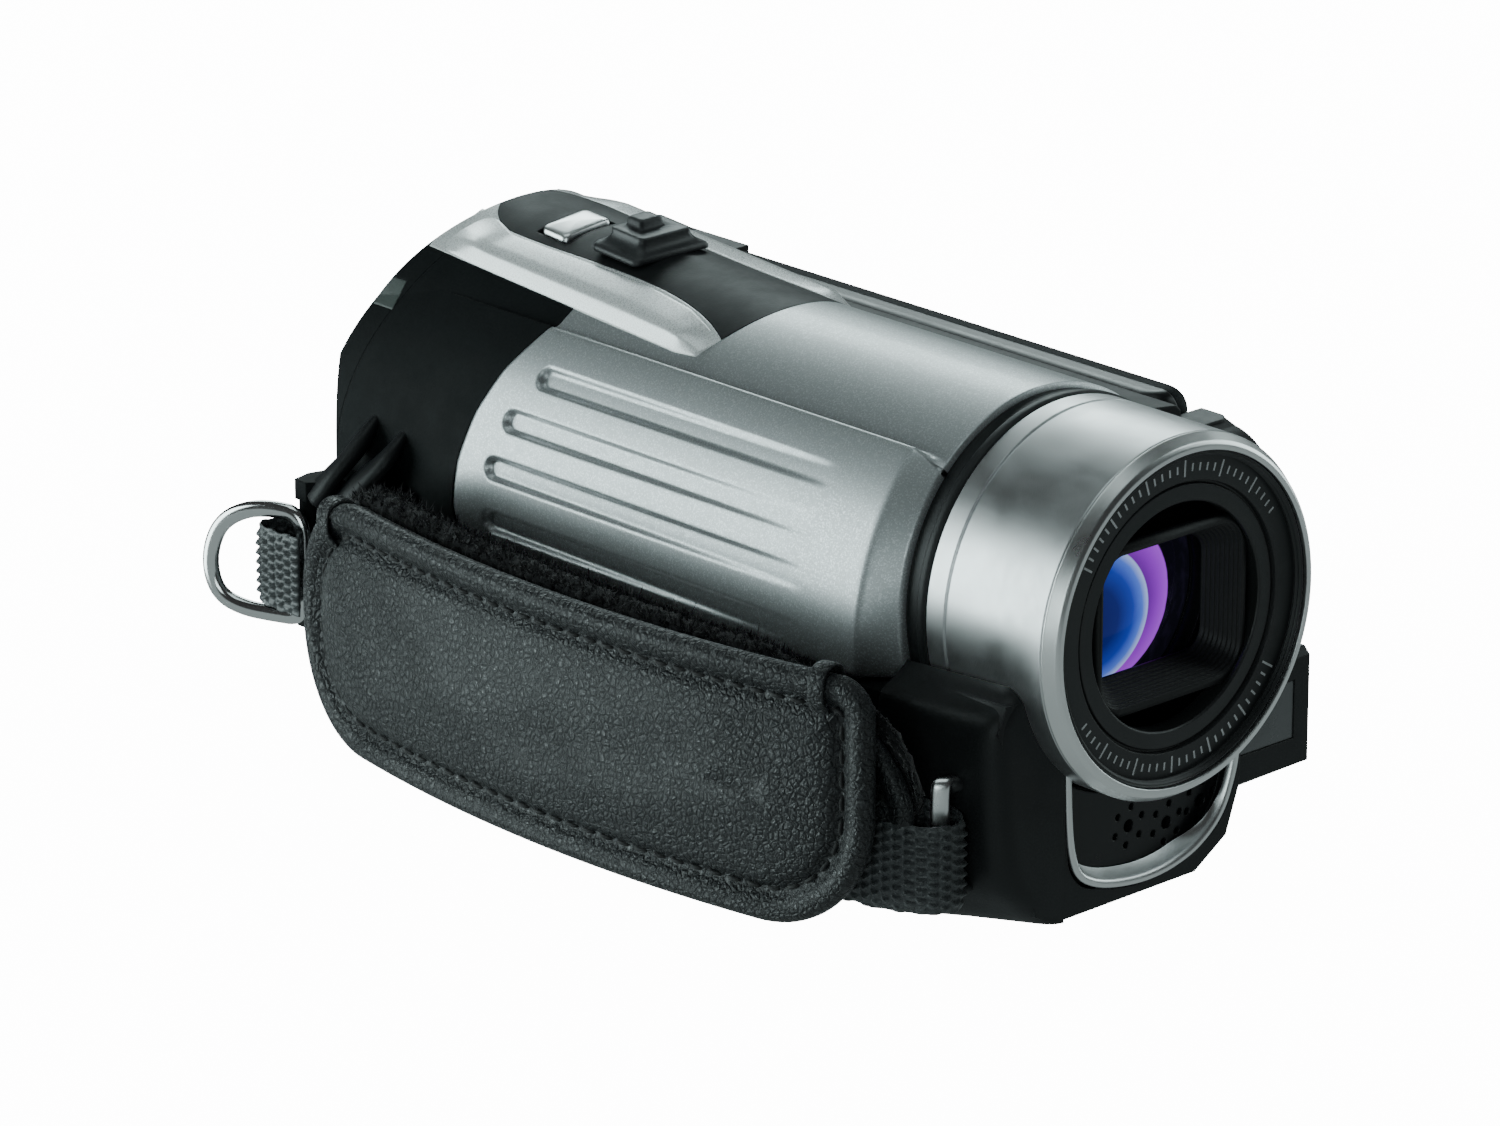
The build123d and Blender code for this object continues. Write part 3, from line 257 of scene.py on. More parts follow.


# centre x, centre z, reach and colour stops of the painted blue and magenta coating reflections
PAINTED_COATING_REFLECTIONS = (
    (-5.6, -1.4, 8.7, (
        (0.0, (0.006, 0.010, 0.10)), (0.45, (0.007, 0.014, 0.15)), (0.7, (0.015, 0.04, 0.38)),
        (0.88, (0.09, 0.18, 0.74)), (1.0, (0.45, 0.58, 1.0)),
    )),
    (-2.9, -0.3, 9.9, (
        (0.0, (0.12, 0.012, 0.26)), (0.6, (0.16, 0.012, 0.36)), (0.8, (0.32, 0.03, 0.66)),
        (0.97, (0.44, 0.06, 0.86)), (0.99, (0.01, 0.008, 0.02)), (1.0, (0.003, 0.003, 0.006)),
    )),
)

LOOKS = {
    "silver_paint": flake_paint("silver_paint", (0.48, 0.50, 0.51), 0.42, metallic=0.72),
    "gloss_silver": flake_paint("gloss_silver", (0.97, 0.99, 0.99), 0.3, 9000, 0.04, 0.25),
    "dark_paint": flake_paint("dark_paint", (0.011, 0.013, 0.014), 0.6, 7500, 0.9, 0.0, 0.0, 0.06),
    "black_plastic": moulded("black_plastic", (0.011, 0.012, 0.013), 0.46, Specular_IOR_Level=0.36),
    "black_gloss": moulded("black_gloss", (0.008, 0.008, 0.009), 0.3, 5000, 0.000006, Specular_IOR_Level=0.4),
    "lens_black": moulded("lens_black", (0.005, 0.0055, 0.006), 0.52, 2600, 0.00002, 0.0001),
    "lever_plastic": moulded("lever_plastic", (0.030, 0.032, 0.034), 0.4, 2800, 0.00004, 0.0004),
    "barrel_metal": metal("barrel_metal", (0.68, 0.69, 0.70), 0.34, 1.0, along=(300, 9000, 300)),
    "polished_metal": metal("polished_metal", (0.86, 0.87, 0.87), 0.13),
    "steel": metal("steel", (0.66, 0.67, 0.66), 0.24, 1.0, along=(2500, 2500, 300)),
    "lens_glass": painted_reflection_glass("lens_glass"),
    "smoked_window": moulded("smoked_window", (0.12, 0.125, 0.13), 0.22, 5000, 0.000004, coat=0.5),
    "lamp_plastic": moulded("lamp_plastic", (0.055, 0.07, 0.064), 0.4, 4000, 0.000006, coat=0.2),
    "display_panel": moulded(
        "display_panel", (0.008, 0.009, 0.012), 0.1, 3000, 0.000002, coat=1.0, coat_rough=0.02
    ),
    "grey_keys": moulded("grey_keys", (0.24, 0.245, 0.255), 0.4),
    "battery_plastic": moulded("battery_plastic", (0.022, 0.022, 0.024), 0.5, 2400, 0.00005),
    "contact_metal": metal("contact_metal", (0.85, 0.62, 0.24), 0.25),
    "circuit": moulded("circuit", (0.02, 0.12, 0.05), 0.35, 1800, 0.00003),
    "inner_metal": metal("inner_metal", (0.55, 0.55, 0.56), 0.35),
    "strap_leather": leather("strap_leather", (0.014, 0.016, 0.0175)),
    "strap_pile": woven("strap_pile", (0.006, 0.006, 0.007), 0.9, 2600, 0.3, 0.0002),
    "strap_webbing": woven("strap_webbing", (0.050, 0.055, 0.057), 0.33),
}
SEAM_THREAD = woven("seam_thread", (0.006, 0.006, 0.006), 0.7, 6000, 0.1)
SATIN = metal("satin_metal", (0.90, 0.91, 0.91), 0.3)
SATIN_BLACK = moulded("satin_black", (0.020, 0.021, 0.022), 0.42, 4200, 0.000012, 0.0001)
PANEL = moulded("panel_satin", (0.010, 0.011, 0.012), 0.5, 3600, 0.00002, Specular_IOR_Level=0.22)
DULL = moulded("dull_black", (0.010, 0.0115, 0.012), 0.56, Specular_IOR_Level=0.07)
PRINT = moulded("ring_marks", (0.55, 0.56, 0.57), 0.5, 4000, 0.000004, 0.00002)

node_slot = {s["node"]: s["material_slot"] for s in frame["record"]["subparts"]}
for node, obj in NODES.items():
    obj.data.materials.clear()
    own = {"control_panel": PANEL, "grip_housing": DULL, "rear_housing": DULL}
    obj.data.materials.append(own.get(node, LOOKS[node_slot[node]]))


# ---- mesh helpers -------------------------------------------------------------------
def piece(name, verts, faces, look, body="camera", stands_for=(), weighted=False):
    """A smooth-shaded mesh in metres from vertices in millimetres, riding on a CAD body."""
    mesh = bpy.data.meshes.new(name)
    mesh.from_pydata([tuple(float(c) * MM for c in v) for v in verts], [], faces)
    mesh.validate()
    mesh.polygons.foreach_set("use_smooth", [True] * len(mesh.polygons))
    obj = bpy.data.objects.new(name, mesh)
    bpy.context.scene.collection.objects.link(obj)
    mesh.materials.append(LOOKS[look] if isinstance(look, str) else look)
    if weighted:
        obj.modifiers.new("flat_faces", "WEIGHTED_NORMAL").keep_sharp = True
    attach(obj, body)
    if stands_for:
        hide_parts(*stands_for)
    return obj


def grid_faces(rows, columns, close_rows=False, close_columns=False, offset=0):
    """Quads of a rows by columns grid of vertices."""
    faces = []
    for i in range(rows if close_rows else rows - 1):
        for j in range(columns if close_columns else columns - 1):
            a, b = i * columns, (i + 1) % rows * columns
            k = (j + 1) % columns
            faces.append((offset + a + j, offset + a + k, offset + b + k, offset + b + j))
    return faces


def soften(points, radius, steps=3, closed=True):
    """Rounds the corners of an outline with short arcs."""
    points = [np.array(p, float) for p in points]
    made, count = [], len(points)
    for i, here in enumerate(points):
        if not closed and i in (0, count - 1):
            made.append(here)
            continue
        before, after = points[i - 1] - here, points[(i + 1) % count] - here
        cut = min(radius, 0.45 * np.linalg.norm(before), 0.45 * np.linalg.norm(after))
        start = here + before / (np.linalg.norm(before) or 1) * cut
        end = here + after / (np.linalg.norm(after) or 1) * cut
        for k in range(steps + 1):
            t = k / steps
            made.append((1 - t) ** 2 * start + 2 * t * (1 - t) * here + t * t * end)
    return made


def lathe(
    name, outline, look, stands_for=(), radius=0.12, turns=240, body="camera", closed=True
):
    """Turns an outline of (distance behind the rim, radius) about the lens axis."""
    section = soften(outline, radius, closed=closed)
    verts = []
    for i in range(turns):
        a = 2 * math.pi * i / turns
        verts += [(r * math.sin(a), RIM_Y + t, LENS_Z + r * math.cos(a)) for t, r in section]
    faces = grid_faces(turns, len(section), True, closed)
    return piece(name, verts, faces, look, body, stands_for, weighted=True)


def smooth_path(points, rounds=3, closed=False):
    """Chaikin corner cutting."""
    points = [np.array(p, float) for p in points]
    for _ in range(rounds):
        made = [] if closed else [points[0]]
        pairs = zip(points, points[1:] + points[:1]) if closed else zip(points, points[1:])
        for a, b in pairs:
            made += [0.75 * a + 0.25 * b, 0.25 * a + 0.75 * b]
        if not closed:
            made.append(points[-1])
        points = made
    return points


def resample(points, step, closed=False):
    """Evenly spaced points along a path."""
    line = np.array(list(points) + ([points[0]] if closed else []))
    along = np.concatenate([[0], np.cumsum(np.linalg.norm(np.diff(line, axis=0), axis=1))])
    count = max(2, int(round(along[-1] / step)) + (0 if closed else 1))
    places = np.linspace(0, along[-1], count, endpoint=not closed)
    return np.stack([np.interp(places, along, line[:, k]) for k in range(line.shape[1])], 1)


def tube(path, across, up, closed=True, sides=16, squareness=1.0, normal=(0, 0, 1)):
    """Vertices and faces of a rounded bar along a path, across wide and up thick."""
    path = np.array(path, float)
    count = len(path)
    verts = []
    normal = np.array(normal, float) / np.linalg.norm(normal)
    for i in range(count):
        nxt = path[(i + 1) % count] if closed or i < count - 1 else path[i]
        prv = path[i - 1] if closed or i > 0 else path[i]
        along = (nxt - prv) / np.linalg.norm(nxt - prv)
        side = np.cross(normal, along)
        side /= np.linalg.norm(side)
        for k in range(sides):
            a = 2 * math.pi * k / sides
            c, s = math.cos(a), math.sin(a)
            c = math.copysign(abs(c) ** squareness, c)
            s = math.copysign(abs(s) ** squareness, s)
            verts.append(path[i] + side * across / 2 * c + np.cross(along, side) * up / 2 * s)
    faces = grid_faces(count, sides, closed, True)
    if not closed:
        faces.append(tuple(range(sides - 1, -1, -1)))
        faces.append(tuple((count - 1) * sides + k for k in range(sides)))
    return verts, faces


def rounded_rect(half_x, half_y, radius, per_corner=10):
    """Points round a rounded rectangle, anticlockwise; radius may be given for each corner."""
    radii = [radius] * 4 if isinstance(radius, (int, float)) else radius
    points = []
    for corner, (sx, sy) in enumerate(((1, 1), (-1, 1), (-1, -1), (1, -1))):
        r = max(1e-3, min(radii[corner], half_x, half_y))
        for k in range(per_corner + 1):
            a = math.radians(90 * corner + 90 * k / per_corner)
            points.append((sx * (half_x - r) + r * math.cos(a), sy * (half_y - r) + r * math.sin(a)))
    return points


# ---- lens ---------------------------------------------------------------------------
lathe(
    "lens_bezel_ring", [(0.0, 18.95), (0.0, 19.55), (0.3, 19.95), (1.55, 20.7), (1.7, 20.7), (1.7, 18.95)],
    SATIN, ["lens_bezel"], 0.1,
)
lathe(
    "lens_barrel_shell",
    [
        (1.72, 19.4), (1.72, 20.62), (1.9, 20.72), (16.1, 20.72), (16.15, 20.45), (16.45, 20.45), (16.5, 20.72),
        (19.15, 20.72), (19.15, 19.4),
    ],
    "barrel_metal", ["lens_barrel"], 0.08,
)
lathe(
    "barrel_spacer",
    [(19.2, 17.0), (19.2, 20.75), (19.7, 20.95), (20.4, 20.95), (20.6, 20.6), (22.4, 20.6), (22.4, 17.0)],
    "black_plastic", ["spacer_ring"], 0.12,
)
lathe(
    "lens_face",
    [
        (0.5, 18.9), (0.32, 18.5), (0.62, 18.2), (0.9, 18.5), (1.15, 18.2), (1.35, 18.3), (1.35, 15.35),
        (2.05, 15.25), (2.05, 14.95), (1.65, 14.85), (1.55, 13.1), (1.75, 12.9), (4.0, 12.9), (4.0, 18.9),
    ],
    SATIN_BLACK, ["lens_face_ring"], 0.06,
)

BAFFLE_STEPS = 9


def baffle():
    """Stepped rectangular funnel in front of the lens, with fine ribs."""
    rings = []
    outer = rounded_rect(10.8, 8.8, 3.2)
    for radius, depth in ((12.88, 3.4), (12.88, 2.2)):
        ring = []
        for x, z in outer:
            size = math.hypot(x, z)
            ring.append((x / size * radius, RIM_Y + depth, LENS_Z + z / size * radius))
        rings.append(ring)
    depth = 2.2
    for step in range(BAFFLE_STEPS):
        shrink = step * 2.2 / BAFFLE_STEPS
        half_x, half_z = 10.8 - shrink, 8.8 - shrink * 0.95
        for drop, inset in ((0.0, 0.0), (0.04, 0.05), (0.42, 0.06), (0.45, 0.1)):
            loop = rounded_rect(half_x - inset, half_z - inset, 3.2 - shrink * 0.3)
            rings.append([(x, RIM_Y + depth + drop, LENS_Z + z) for x, z in loop])
        depth += 0.45
    tail = rounded_rect(half_x - 0.25, half_z - 0.25, 2.4)
    rings.append([(x, RIM_Y + 6.3, LENS_Z + z) for x, z in tail])
    rings.append([(x * 1.4, RIM_Y + 6.3, LENS_Z + z * 1.5) for x, z in tail])
    verts = [p for ring in rings for p in ring]
    faces = grid_faces(len(rings), len(outer), False, True)
    return piece("lens_funnel", verts, faces, "lens_black", stands_for=["lens_baffle"])


baffle()

DOME_RINGS, DOME_R, DOME_APEX, DOME_DROP = 28, 12.5, 8.6, 3.1


def dome():
    """The front lens element."""
    verts, turns = [], 96
    for k in range(DOME_RINGS + 1):
        r = DOME_R * k / DOME_RINGS
        t = DOME_APEX + DOME_DROP * (r / DOME_R) ** 2
        verts += [
            (r * math.sin(2 * math.pi * i / turns), RIM_Y + t, LENS_Z + r * math.cos(2 * math.pi * i / turns))
            for i in range(turns)
        ]
    faces = grid_faces(DOME_RINGS + 1, turns, False, True)
    return piece("front_element", verts, faces, "lens_glass", stands_for=["front_lens"])


dome()

MARK_R = 16.85


def ring_marks():
    """Plain index marks printed round the lens face."""
    verts, faces = [], []
    for start, stop, count in ((122, 238, 30), (-58, 58, 30)):
        for k in range(count):
            a = math.radians(start + (stop - start) * k / (count - 1))
            long_mark = k % 5 == 0
            half, inner = 0.13, MARK_R - (0.95 if long_mark else 0.45)
            outer = MARK_R + (0.95 if long_mark else 0.45)
            radial = np.array((math.sin(a), 0, math.cos(a)))
            side = np.array((math.cos(a), 0, -math.sin(a)))
            centre = np.array((0, RIM_Y + 1.33, LENS_Z))
            base = len(verts)
            for r, w in ((inner, -half), (inner, half), (outer, half), (outer, -half)):
                verts.append(centre + radial * r + side * w)
            faces.append(tuple(base + n for n in range(4)))
    return piece("lens_face_marks", verts, faces, PRINT)


ring_marks()


# ---- silver side cover --------------------------------------------------------------
COVER_FRONT, PLATEAU_Y = -32.6, -28.8
TOP_R, HUMP_R, HUMP_Y, HUMP_RISE = 21.3, 20.6, -2.0, math.tan(math.radians(4.2))
RIDGE_X, RIDGE_Z, WALL_FOOT = -15.8, 50.0, (-14.2, 48.85)
RIB_CENTRE, RIB_RADIUS = np.array((4.12, 29.48)), 28.6
RIB_ANGLES, RIB_BACKS = (146.3, 158.0, 169.9, 182.6), (28.0, 31.0, 32.5, 32.5)
RIB_FRONT, RIB_HALF, RIB_DEPTH = -20.0, 1.25, 0.85
TRIM_X = 12.8
REAR_SEAM = ((25.5, 35.0), (25.8, 36.2), (26.4, 36.9), (27.5, 37.6), (28.5, 37.8), (34.0, 37.3), (40.0, 35.8),
             (45.0, 33.7), (50.0, 30.2), (53.0, 29.5), (60.0, 28.0))


def step(value):
    """Smooth change from 0 to 1."""
    t = np.clip(value, 0, 1)
    return t * t * (3 - 2 * t)


def body_top(x, y):
    """Height of the round top of the body, with its rise towards the back."""
    centre = LENS_Z + max(0.0, y - HUMP_Y) * HUMP_RISE
    core = LENS_Z + math.sqrt(TOP_R**2 - x * x)
    return max(core, centre + math.sqrt(HUMP_R**2 - x * x)) if y > HUMP_Y else core


def cover_section(y):
    """Points of the cover's section at y, from the seam over the ridge to the far edge."""
    raised = float(np.clip((y - COVER_FRONT) / (PLATEAU_Y - COVER_FRONT), 0, 1)) * 0.93 + 0.07
    points = []
    for k in range(SIDE_STEPS):
        s = k / SIDE_STEPS
        a = math.radians(188.0 + (134.15 - 188.0) * s)
        high = RIB_CENTRE + RIB_RADIUS * np.array((math.cos(a), math.sin(a)))
        b = math.radians(110.6 + (42.9 - 110.6) * s)
        low = np.array((-math.sin(b), math.cos(b))) * TOP_R + (0, LENS_Z)
        points.append(low + (high - low) * raised)
    for x in COVER_TOP_X:
        wall = RIDGE_Z + (x - RIDGE_X) * (WALL_FOOT[1] - RIDGE_Z) / (WALL_FOOT[0] - RIDGE_X)
        top = body_top(x, y)
        points.append(np.array((x, max(top, top + (wall - top) * raised) if x < -12.9 else top)))
    return np.array(points)


SIDE_STEPS = 104
COVER_TOP_X = [RIDGE_X + k * 0.125 for k in range(24)] + [-TRIM_X + k * 0.4 for k in range(65)]
KEPT_COLUMNS = SIDE_STEPS + 25  # columns that run on beside the top trim


def turn_in(verts, faces, inward, depth):
    """Adds a rim all round an open sheet, going in by depth at every vertex of its border."""
    sides = {(a, b) for face in faces for a, b in zip(face, face[1:] + face[:1])}
    border = [(a, b) for a, b in sides if (b, a) not in sides]
    twin = {}
    for pair in sorted(border):
        for v in pair:
            if v not in twin:
                twin[v] = len(verts)
                verts.append(verts[v] + inward[v] * depth)
    faces += [(b, a, twin[a], twin[b]) for a, b in sorted(border)]


def side_cover():
    """Ribbed silver cover: raised side with four channels, ridge and smooth top."""
    front_rows = list(np.arange(COVER_FRONT, 6.0, 0.3))
    beside_rows, back_rows = 24, 84
    full = len(front_rows) + beside_rows
    rows = [cover_section(y) for y in front_rows]
    rows += [None] * (beside_rows + back_rows)
    columns = SIDE_STEPS + len(COVER_TOP_X)
    grid = np.zeros((len(rows), columns, 3))
    for i, y in enumerate(front_rows):
        grid[i, :, 0], grid[i, :, 1], grid[i, :, 2] = rows[i][:, 0], y, rows[i][:, 1]
    flat = cover_section(6.0)
    for j in range(columns):
        x, z = flat[j]
        reach = abs(x) if j >= KEPT_COLUMNS - 1 else TRIM_X
        if reach <= 9.6:
            end = 6.9 + 1.7 * (reach / 9.6) ** 2
        elif reach <= 12.4:
            end = 8.6 + 1.2 * (reach - 9.6) / 2.8
        else:
            end = 9.8 + 3.2 * (reach - 12.4) / 0.4
        rear = float(np.interp(z, *zip(*REAR_SEAM)))
        for k in range(beside_rows + back_rows):
            if k < beside_rows:
                y = 6.0 + (end - 6.0) * (k + 1) / beside_rows
            else:
                y = end + (rear - end) * (k + 1 - beside_rows) / back_rows
            grid[len(front_rows) + k, j] = (x, y, z)
    for i in range(len(front_rows), len(rows)):
        for j in range(SIDE_STEPS, columns):
            x, y = grid[i, j, :2]
            wall = RIDGE_Z + (x - RIDGE_X) * (WALL_FOOT[1] - RIDGE_Z) / (WALL_FOOT[0] - RIDGE_X)
            grid[i, j, 2] = max(body_top(x, y), wall if x < -12.9 else 0)
    for _ in range(3):
        inner = grid[:, 1:-1]
        grid[:, 1:-1] = 0.5 * inner + 0.25 * (grid[:, :-2] + grid[:, 2:])
    for _ in range(2):
        inner = grid[1:-1, :SIDE_STEPS]
        grid[1:-1, :SIDE_STEPS] = 0.5 * inner + 0.25 * (grid[:-2, :SIDE_STEPS] + grid[2:, :SIDE_STEPS])
    away = grid[:, :, (0, 2)] - RIB_CENTRE
    around = np.degrees(np.arctan2(away[:, :, 1], away[:, :, 0])) % 360
    outward = away / np.linalg.norm(away, axis=2, keepdims=True)
    cut = np.zeros(around.shape)
    for angle, back in zip(RIB_ANGLES, RIB_BACKS):
        across = np.radians(around - angle) * RIB_RADIUS
        past = np.maximum(0, grid[:, :, 1] - (back - RIB_HALF))
        off = np.hypot(across, past)
        deep = RIB_DEPTH * np.clip((grid[:, :, 1] - RIB_FRONT) / (back - RIB_FRONT), 0, 1) ** 0.75
        cut += deep * step((RIB_HALF + 0.2 - off) / 0.5)
    grid[:, :, 0] -= outward[:, :, 0] * cut
    grid[:, :, 2] -= outward[:, :, 1] * cut
    faces = [
        f for n, f in enumerate(grid_faces(len(rows), columns))
        if n // (columns - 1) < full - 1 or n % (columns - 1) < KEPT_COLUMNS - 1
    ]
    verts = list(grid.reshape(-1, 3))
    inward = np.zeros((len(verts), 3))
    inward[:, 0], inward[:, 2] = -outward.reshape(-1, 2)[:, 0], -outward.reshape(-1, 2)[:, 1]
    used = sorted({v for f in faces for v in f})
    place = {v: k for k, v in enumerate(used)}
    verts, inward = [verts[v] for v in used], [inward[v] for v in used]
    faces = [tuple(place[v] for v in f) for f in faces]
    turn_in(verts, faces, inward, 1.1)
    return piece("side_cover_shell", verts, faces, "silver_paint", stands_for=["side_cover"])


side_cover()


# ---- zoom lever and photo button ----------------------------------------------------
def on_hump(x, y, height, follow=1.0):
    """A point above the rounded rear top; follow 0 keeps it level instead of curved."""
    centre = LENS_Z + (y - HUMP_Y) * HUMP_RISE
    curved = math.sqrt(HUMP_R**2 - x * x)
    return (x, y, centre + HUMP_R + (curved - HUMP_R) * follow + height)


def stack(name, loops, look, body, stands_for=(), across=0.0, per_corner=7):
    """A rounded block built from rings of (half x, half y, corner, middle y, height, follow)."""
    verts, rings = [], 0
    for half_x, half_y, corner, y, height, follow in loops:
        outline = rounded_rect(half_x, half_y, corner, per_corner)
        verts += [on_hump(across + px, y + py, height, follow) for px, py in outline]
        rings += 1
    count = len(outline)
    faces = grid_faces(rings, count, False, True)
    faces.append(tuple(range(count - 1, -1, -1)))
    faces.append(tuple((rings - 1) * count + k for k in range(count)))
    return piece(name, verts, faces, look, body, stands_for)


LEVER_Y = 30.8
stack(
    "zoom_lever_cap",
    [
        (1.0, 1.1, 0.4, LEVER_Y, -3.0, 1), (1.0, 1.1, 0.4, LEVER_Y, 0.4, 1), (5.5, 3.8, 0.9, LEVER_Y, 0.42, 1),
        (5.8, 4.0, 1.0, LEVER_Y, 0.55, 1), (5.8, 4.0, 1.0, LEVER_Y, 1.0, 1), (5.6, 3.85, 1.0, LEVER_Y, 1.2, 1),
        (5.1, 3.5, 0.9, LEVER_Y, 1.24, 0.95), (4.6, 3.2, 0.8, LEVER_Y, 1.32, 0.75),
        (4.2, 2.95, 0.8, LEVER_Y, 1.52, 0.5), (3.95, 2.8, 0.8, LEVER_Y, 1.85, 0.25),
        (3.85, 2.75, 0.7, LEVER_Y, 2.1, 0.1),
        (3.9, 2.8, 0.7, LEVER_Y, 2.25, 0.05), (3.75, 2.65, 0.6, LEVER_Y, 2.38, 0.05),
        (3.1, 2.2, 0.5, LEVER_Y, 2.32, 0.0), (1.95, 1.5, 0.4, LEVER_Y + 0.9, 2.34, 0),
        (1.8, 1.35, 0.4, LEVER_Y + 1.0, 2.5, 0), (1.7, 1.25, 0.4, LEVER_Y + 1.05, 3.15, 0),
        (1.5, 1.1, 0.4, LEVER_Y + 1.05, 3.36, 0), (1.1, 0.8, 0.3, LEVER_Y + 1.05, 3.4, 0),
        (0.5, 0.4, 0.2, LEVER_Y + 1.05, 3.4, 0),
    ],
    "lever_plastic", "zoom_lever", ["zoom_lever"],
)
BUTTON_X, BUTTON_Y = -2.1, 41.3
stack(
    "photo_button_cap",
    [
        (3.6, 2.2, 0.8, BUTTON_Y, -2.4, 1), (3.6, 2.2, 0.8, BUTTON_Y, 0.15, 1),
        (3.52, 2.12, 0.8, BUTTON_Y, 0.42, 1),
        (3.3, 1.9, 0.7, BUTTON_Y, 0.56, 1), (2.8, 1.5, 0.5, BUTTON_Y, 0.6, 1), (1.6, 0.8, 0.4, BUTTON_Y, 0.6, 1),
        (0.7, 0.3, 0.1, BUTTON_Y, 0.6, 1),
    ],
    SATIN, "photo_button", ["photo_button"], across=BUTTON_X,
)


# ---- bright trim beside the control panel -------------------------------------------
PANEL_EDGE = ((8.6, 9.6), (15.7, 7.3), (24.0, 6.5), (36.0, 7.0), (46.0, 7.5), (52.0, 5.6))  # y, half width


def trim_flanks():
    """Faceted bright flanks: steep next to the side cover, flatter up to the panel."""
    for name, side in (("trim_flank", -1), ("trim_flank_far", 1)):
        verts, rows = [], 0
        for y in np.arange(8.7, 53.6, 0.4):
            inner = float(np.interp(y, *zip(*PANEL_EDGE)))
            outer = float(np.interp(y, (8.6, 9.8, 13.0), (9.7, 12.45, TRIM_X)))
            swell = 1.5 * float(step((y - 8.6) / 5.0)) * float(step((54.5 - y) / 7.0)) + 0.06
            rows += 1
            for k in range(25):
                t = k / 24
                x = outer + (inner - outer) * t
                low, high = body_top(outer, y), body_top(inner, y)
                lift = min(t / 0.26, (1 - t) / 0.74)
                lift = swell * (lift - 0.12 * max(0.0, lift - 0.75) / 0.25)
                z = low + (high - low) * t + lift * 0.85 + (body_top(x, y) - low - (high - low) * t) * 0.5
                verts.append((side * (x + lift * 0.5), y, z - (0.5 if k in (0, 24) else 0)))
        faces = grid_faces(rows, 25)
        if side > 0:
            faces = [f[::-1] for f in faces]
        piece(name, verts, faces, "gloss_silver")


trim_flanks()

LUG_FINS = (
    ((-20.6, 53.0, 37.2), (-23.6, 52.6, 34.6), (-26.6, 52.6, 31.8), (-29.4, 53.8, 29.0), (-30.4, 55.4, 26.5)),
    ((-20.8, 47.8, 36.4), (-23.8, 47.4, 34.0), (-26.2, 47.8, 31.6), (-28.2, 49.6, 29.2), (-29.2, 52.0, 26.5)),
)


def lug_fins():
    """Two ribs that run from the rear strap mount up into the grip side."""
    verts, faces = [], []
    for line in LUG_FINS:
        path = resample(smooth_path(line, 3), 0.5)
        v, f = tube(path, 4.2, 2.2, False, 20, 0.9, normal=(-0.8, 0.6, 0.1))
        for i, centre in enumerate(path):
            share = 0.2 + 0.8 * float(step(i / 14))
            for k in range(i * 20, i * 20 + 20):
                v[k] = centre + (v[k] - centre) * share
        faces += [tuple(n + len(verts) for n in face) for face in f]
        verts += v
    piece("lug_fins", verts, faces, "black_plastic")


lug_fins()


# ---- front housing skin and microphone trim -----------------------------------------
FRONT_FACE = -50.0
SKIN_LEVELS = (
    (0.0, -22.0, 0.0, -13.5), (0.05, -25.2, 0.1, -15.2), (0.9, -26.25, 1.2, -16.9), (2.4, -26.6, 2.6, -18.6),
    (4.8, -26.65, 4.4, -20.5), (7.0, -26.4, 6.4, -21.6), (9.0, -26.2, 8.6, -22.4), (12.0, -25.9, 12.0, -23.1),
    (15.0, -25.6, 15.0, -23.4), (18.0, -25.3, 18.0, -23.7), (21.0, -25.0, 21.0, -24.0), (23.4, -24.7, 23.2, -24.1),
    (24.7, -24.5, 24.9, -23.9), (25.4, -23.9, 26.2, -23.1), (25.9, -22.8, 27.1, -22.0), (26.7, -21.4, 27.8, -20.8),
    (27.6, -20.3, 28.8, -20.3),
)  # height and x at the cover's seam, then height and x at the front corner


def front_skin():
    """Smooth outer skin of the grip side of the front housing, with a rounded corner."""
    levels = resample(smooth_path(SKIN_LEVELS, 2), 0.75)
    verts = []
    for z_back, x_back, z_front, x_front in levels:
        rear, corner = np.array((x_back, COVER_FRONT, z_back)), np.array((x_front, FRONT_FACE, z_front))
        end = np.array((-13.3, FRONT_FACE - 0.05, z_front))
        bulge = np.array((-0.35, 0, 0))
        line = [rear + (corner - rear) * k / 14 + bulge * math.sin(math.pi * k / 14) for k in range(14)]
        line += [corner + (end - corner) * k / 8 for k in range(9)]
        verts += soften_at(line, 14, 2.6)
    count = len(verts) // len(levels)
    faces = grid_faces(len(levels), count)
    piece("front_skin", verts, faces, "black_plastic")


def soften_at(line, index, radius):
    """Rounds one corner of a path; every path made this way has the same point count."""
    here = line[index]
    ahead, behind = line[-1] - here, line[0] - here
    cut = min(radius, 0.8 * np.linalg.norm(ahead))
    start = here + behind / np.linalg.norm(behind) * cut
    end = here + ahead / max(1e-6, np.linalg.norm(ahead)) * cut
    before = [line[0] + (start - line[0]) * k / 24 for k in range(24)]
    middle = [
        (1 - k / 12) ** 2 * start + 2 * k / 12 * (1 - k / 12) * here + (k / 12) ** 2 * end for k in range(13)
    ]
    after = [end + (line[-1] - end) * k / 10 for k in range(1, 11)]
    return before + middle + after


front_skin()

TRIM_LINE = ((-13.4, 20.0), (-13.1, 12.0), (-12.6, 7.4), (-11.3, 4.3), (-8.0, 2.5), (-3.8, 1.6), (0.4, 1.3), (4.4, 1.8),
             (8.2, 3.1), (11.8, 5.9), (13.7, 10.6), (14.2, 14.0))


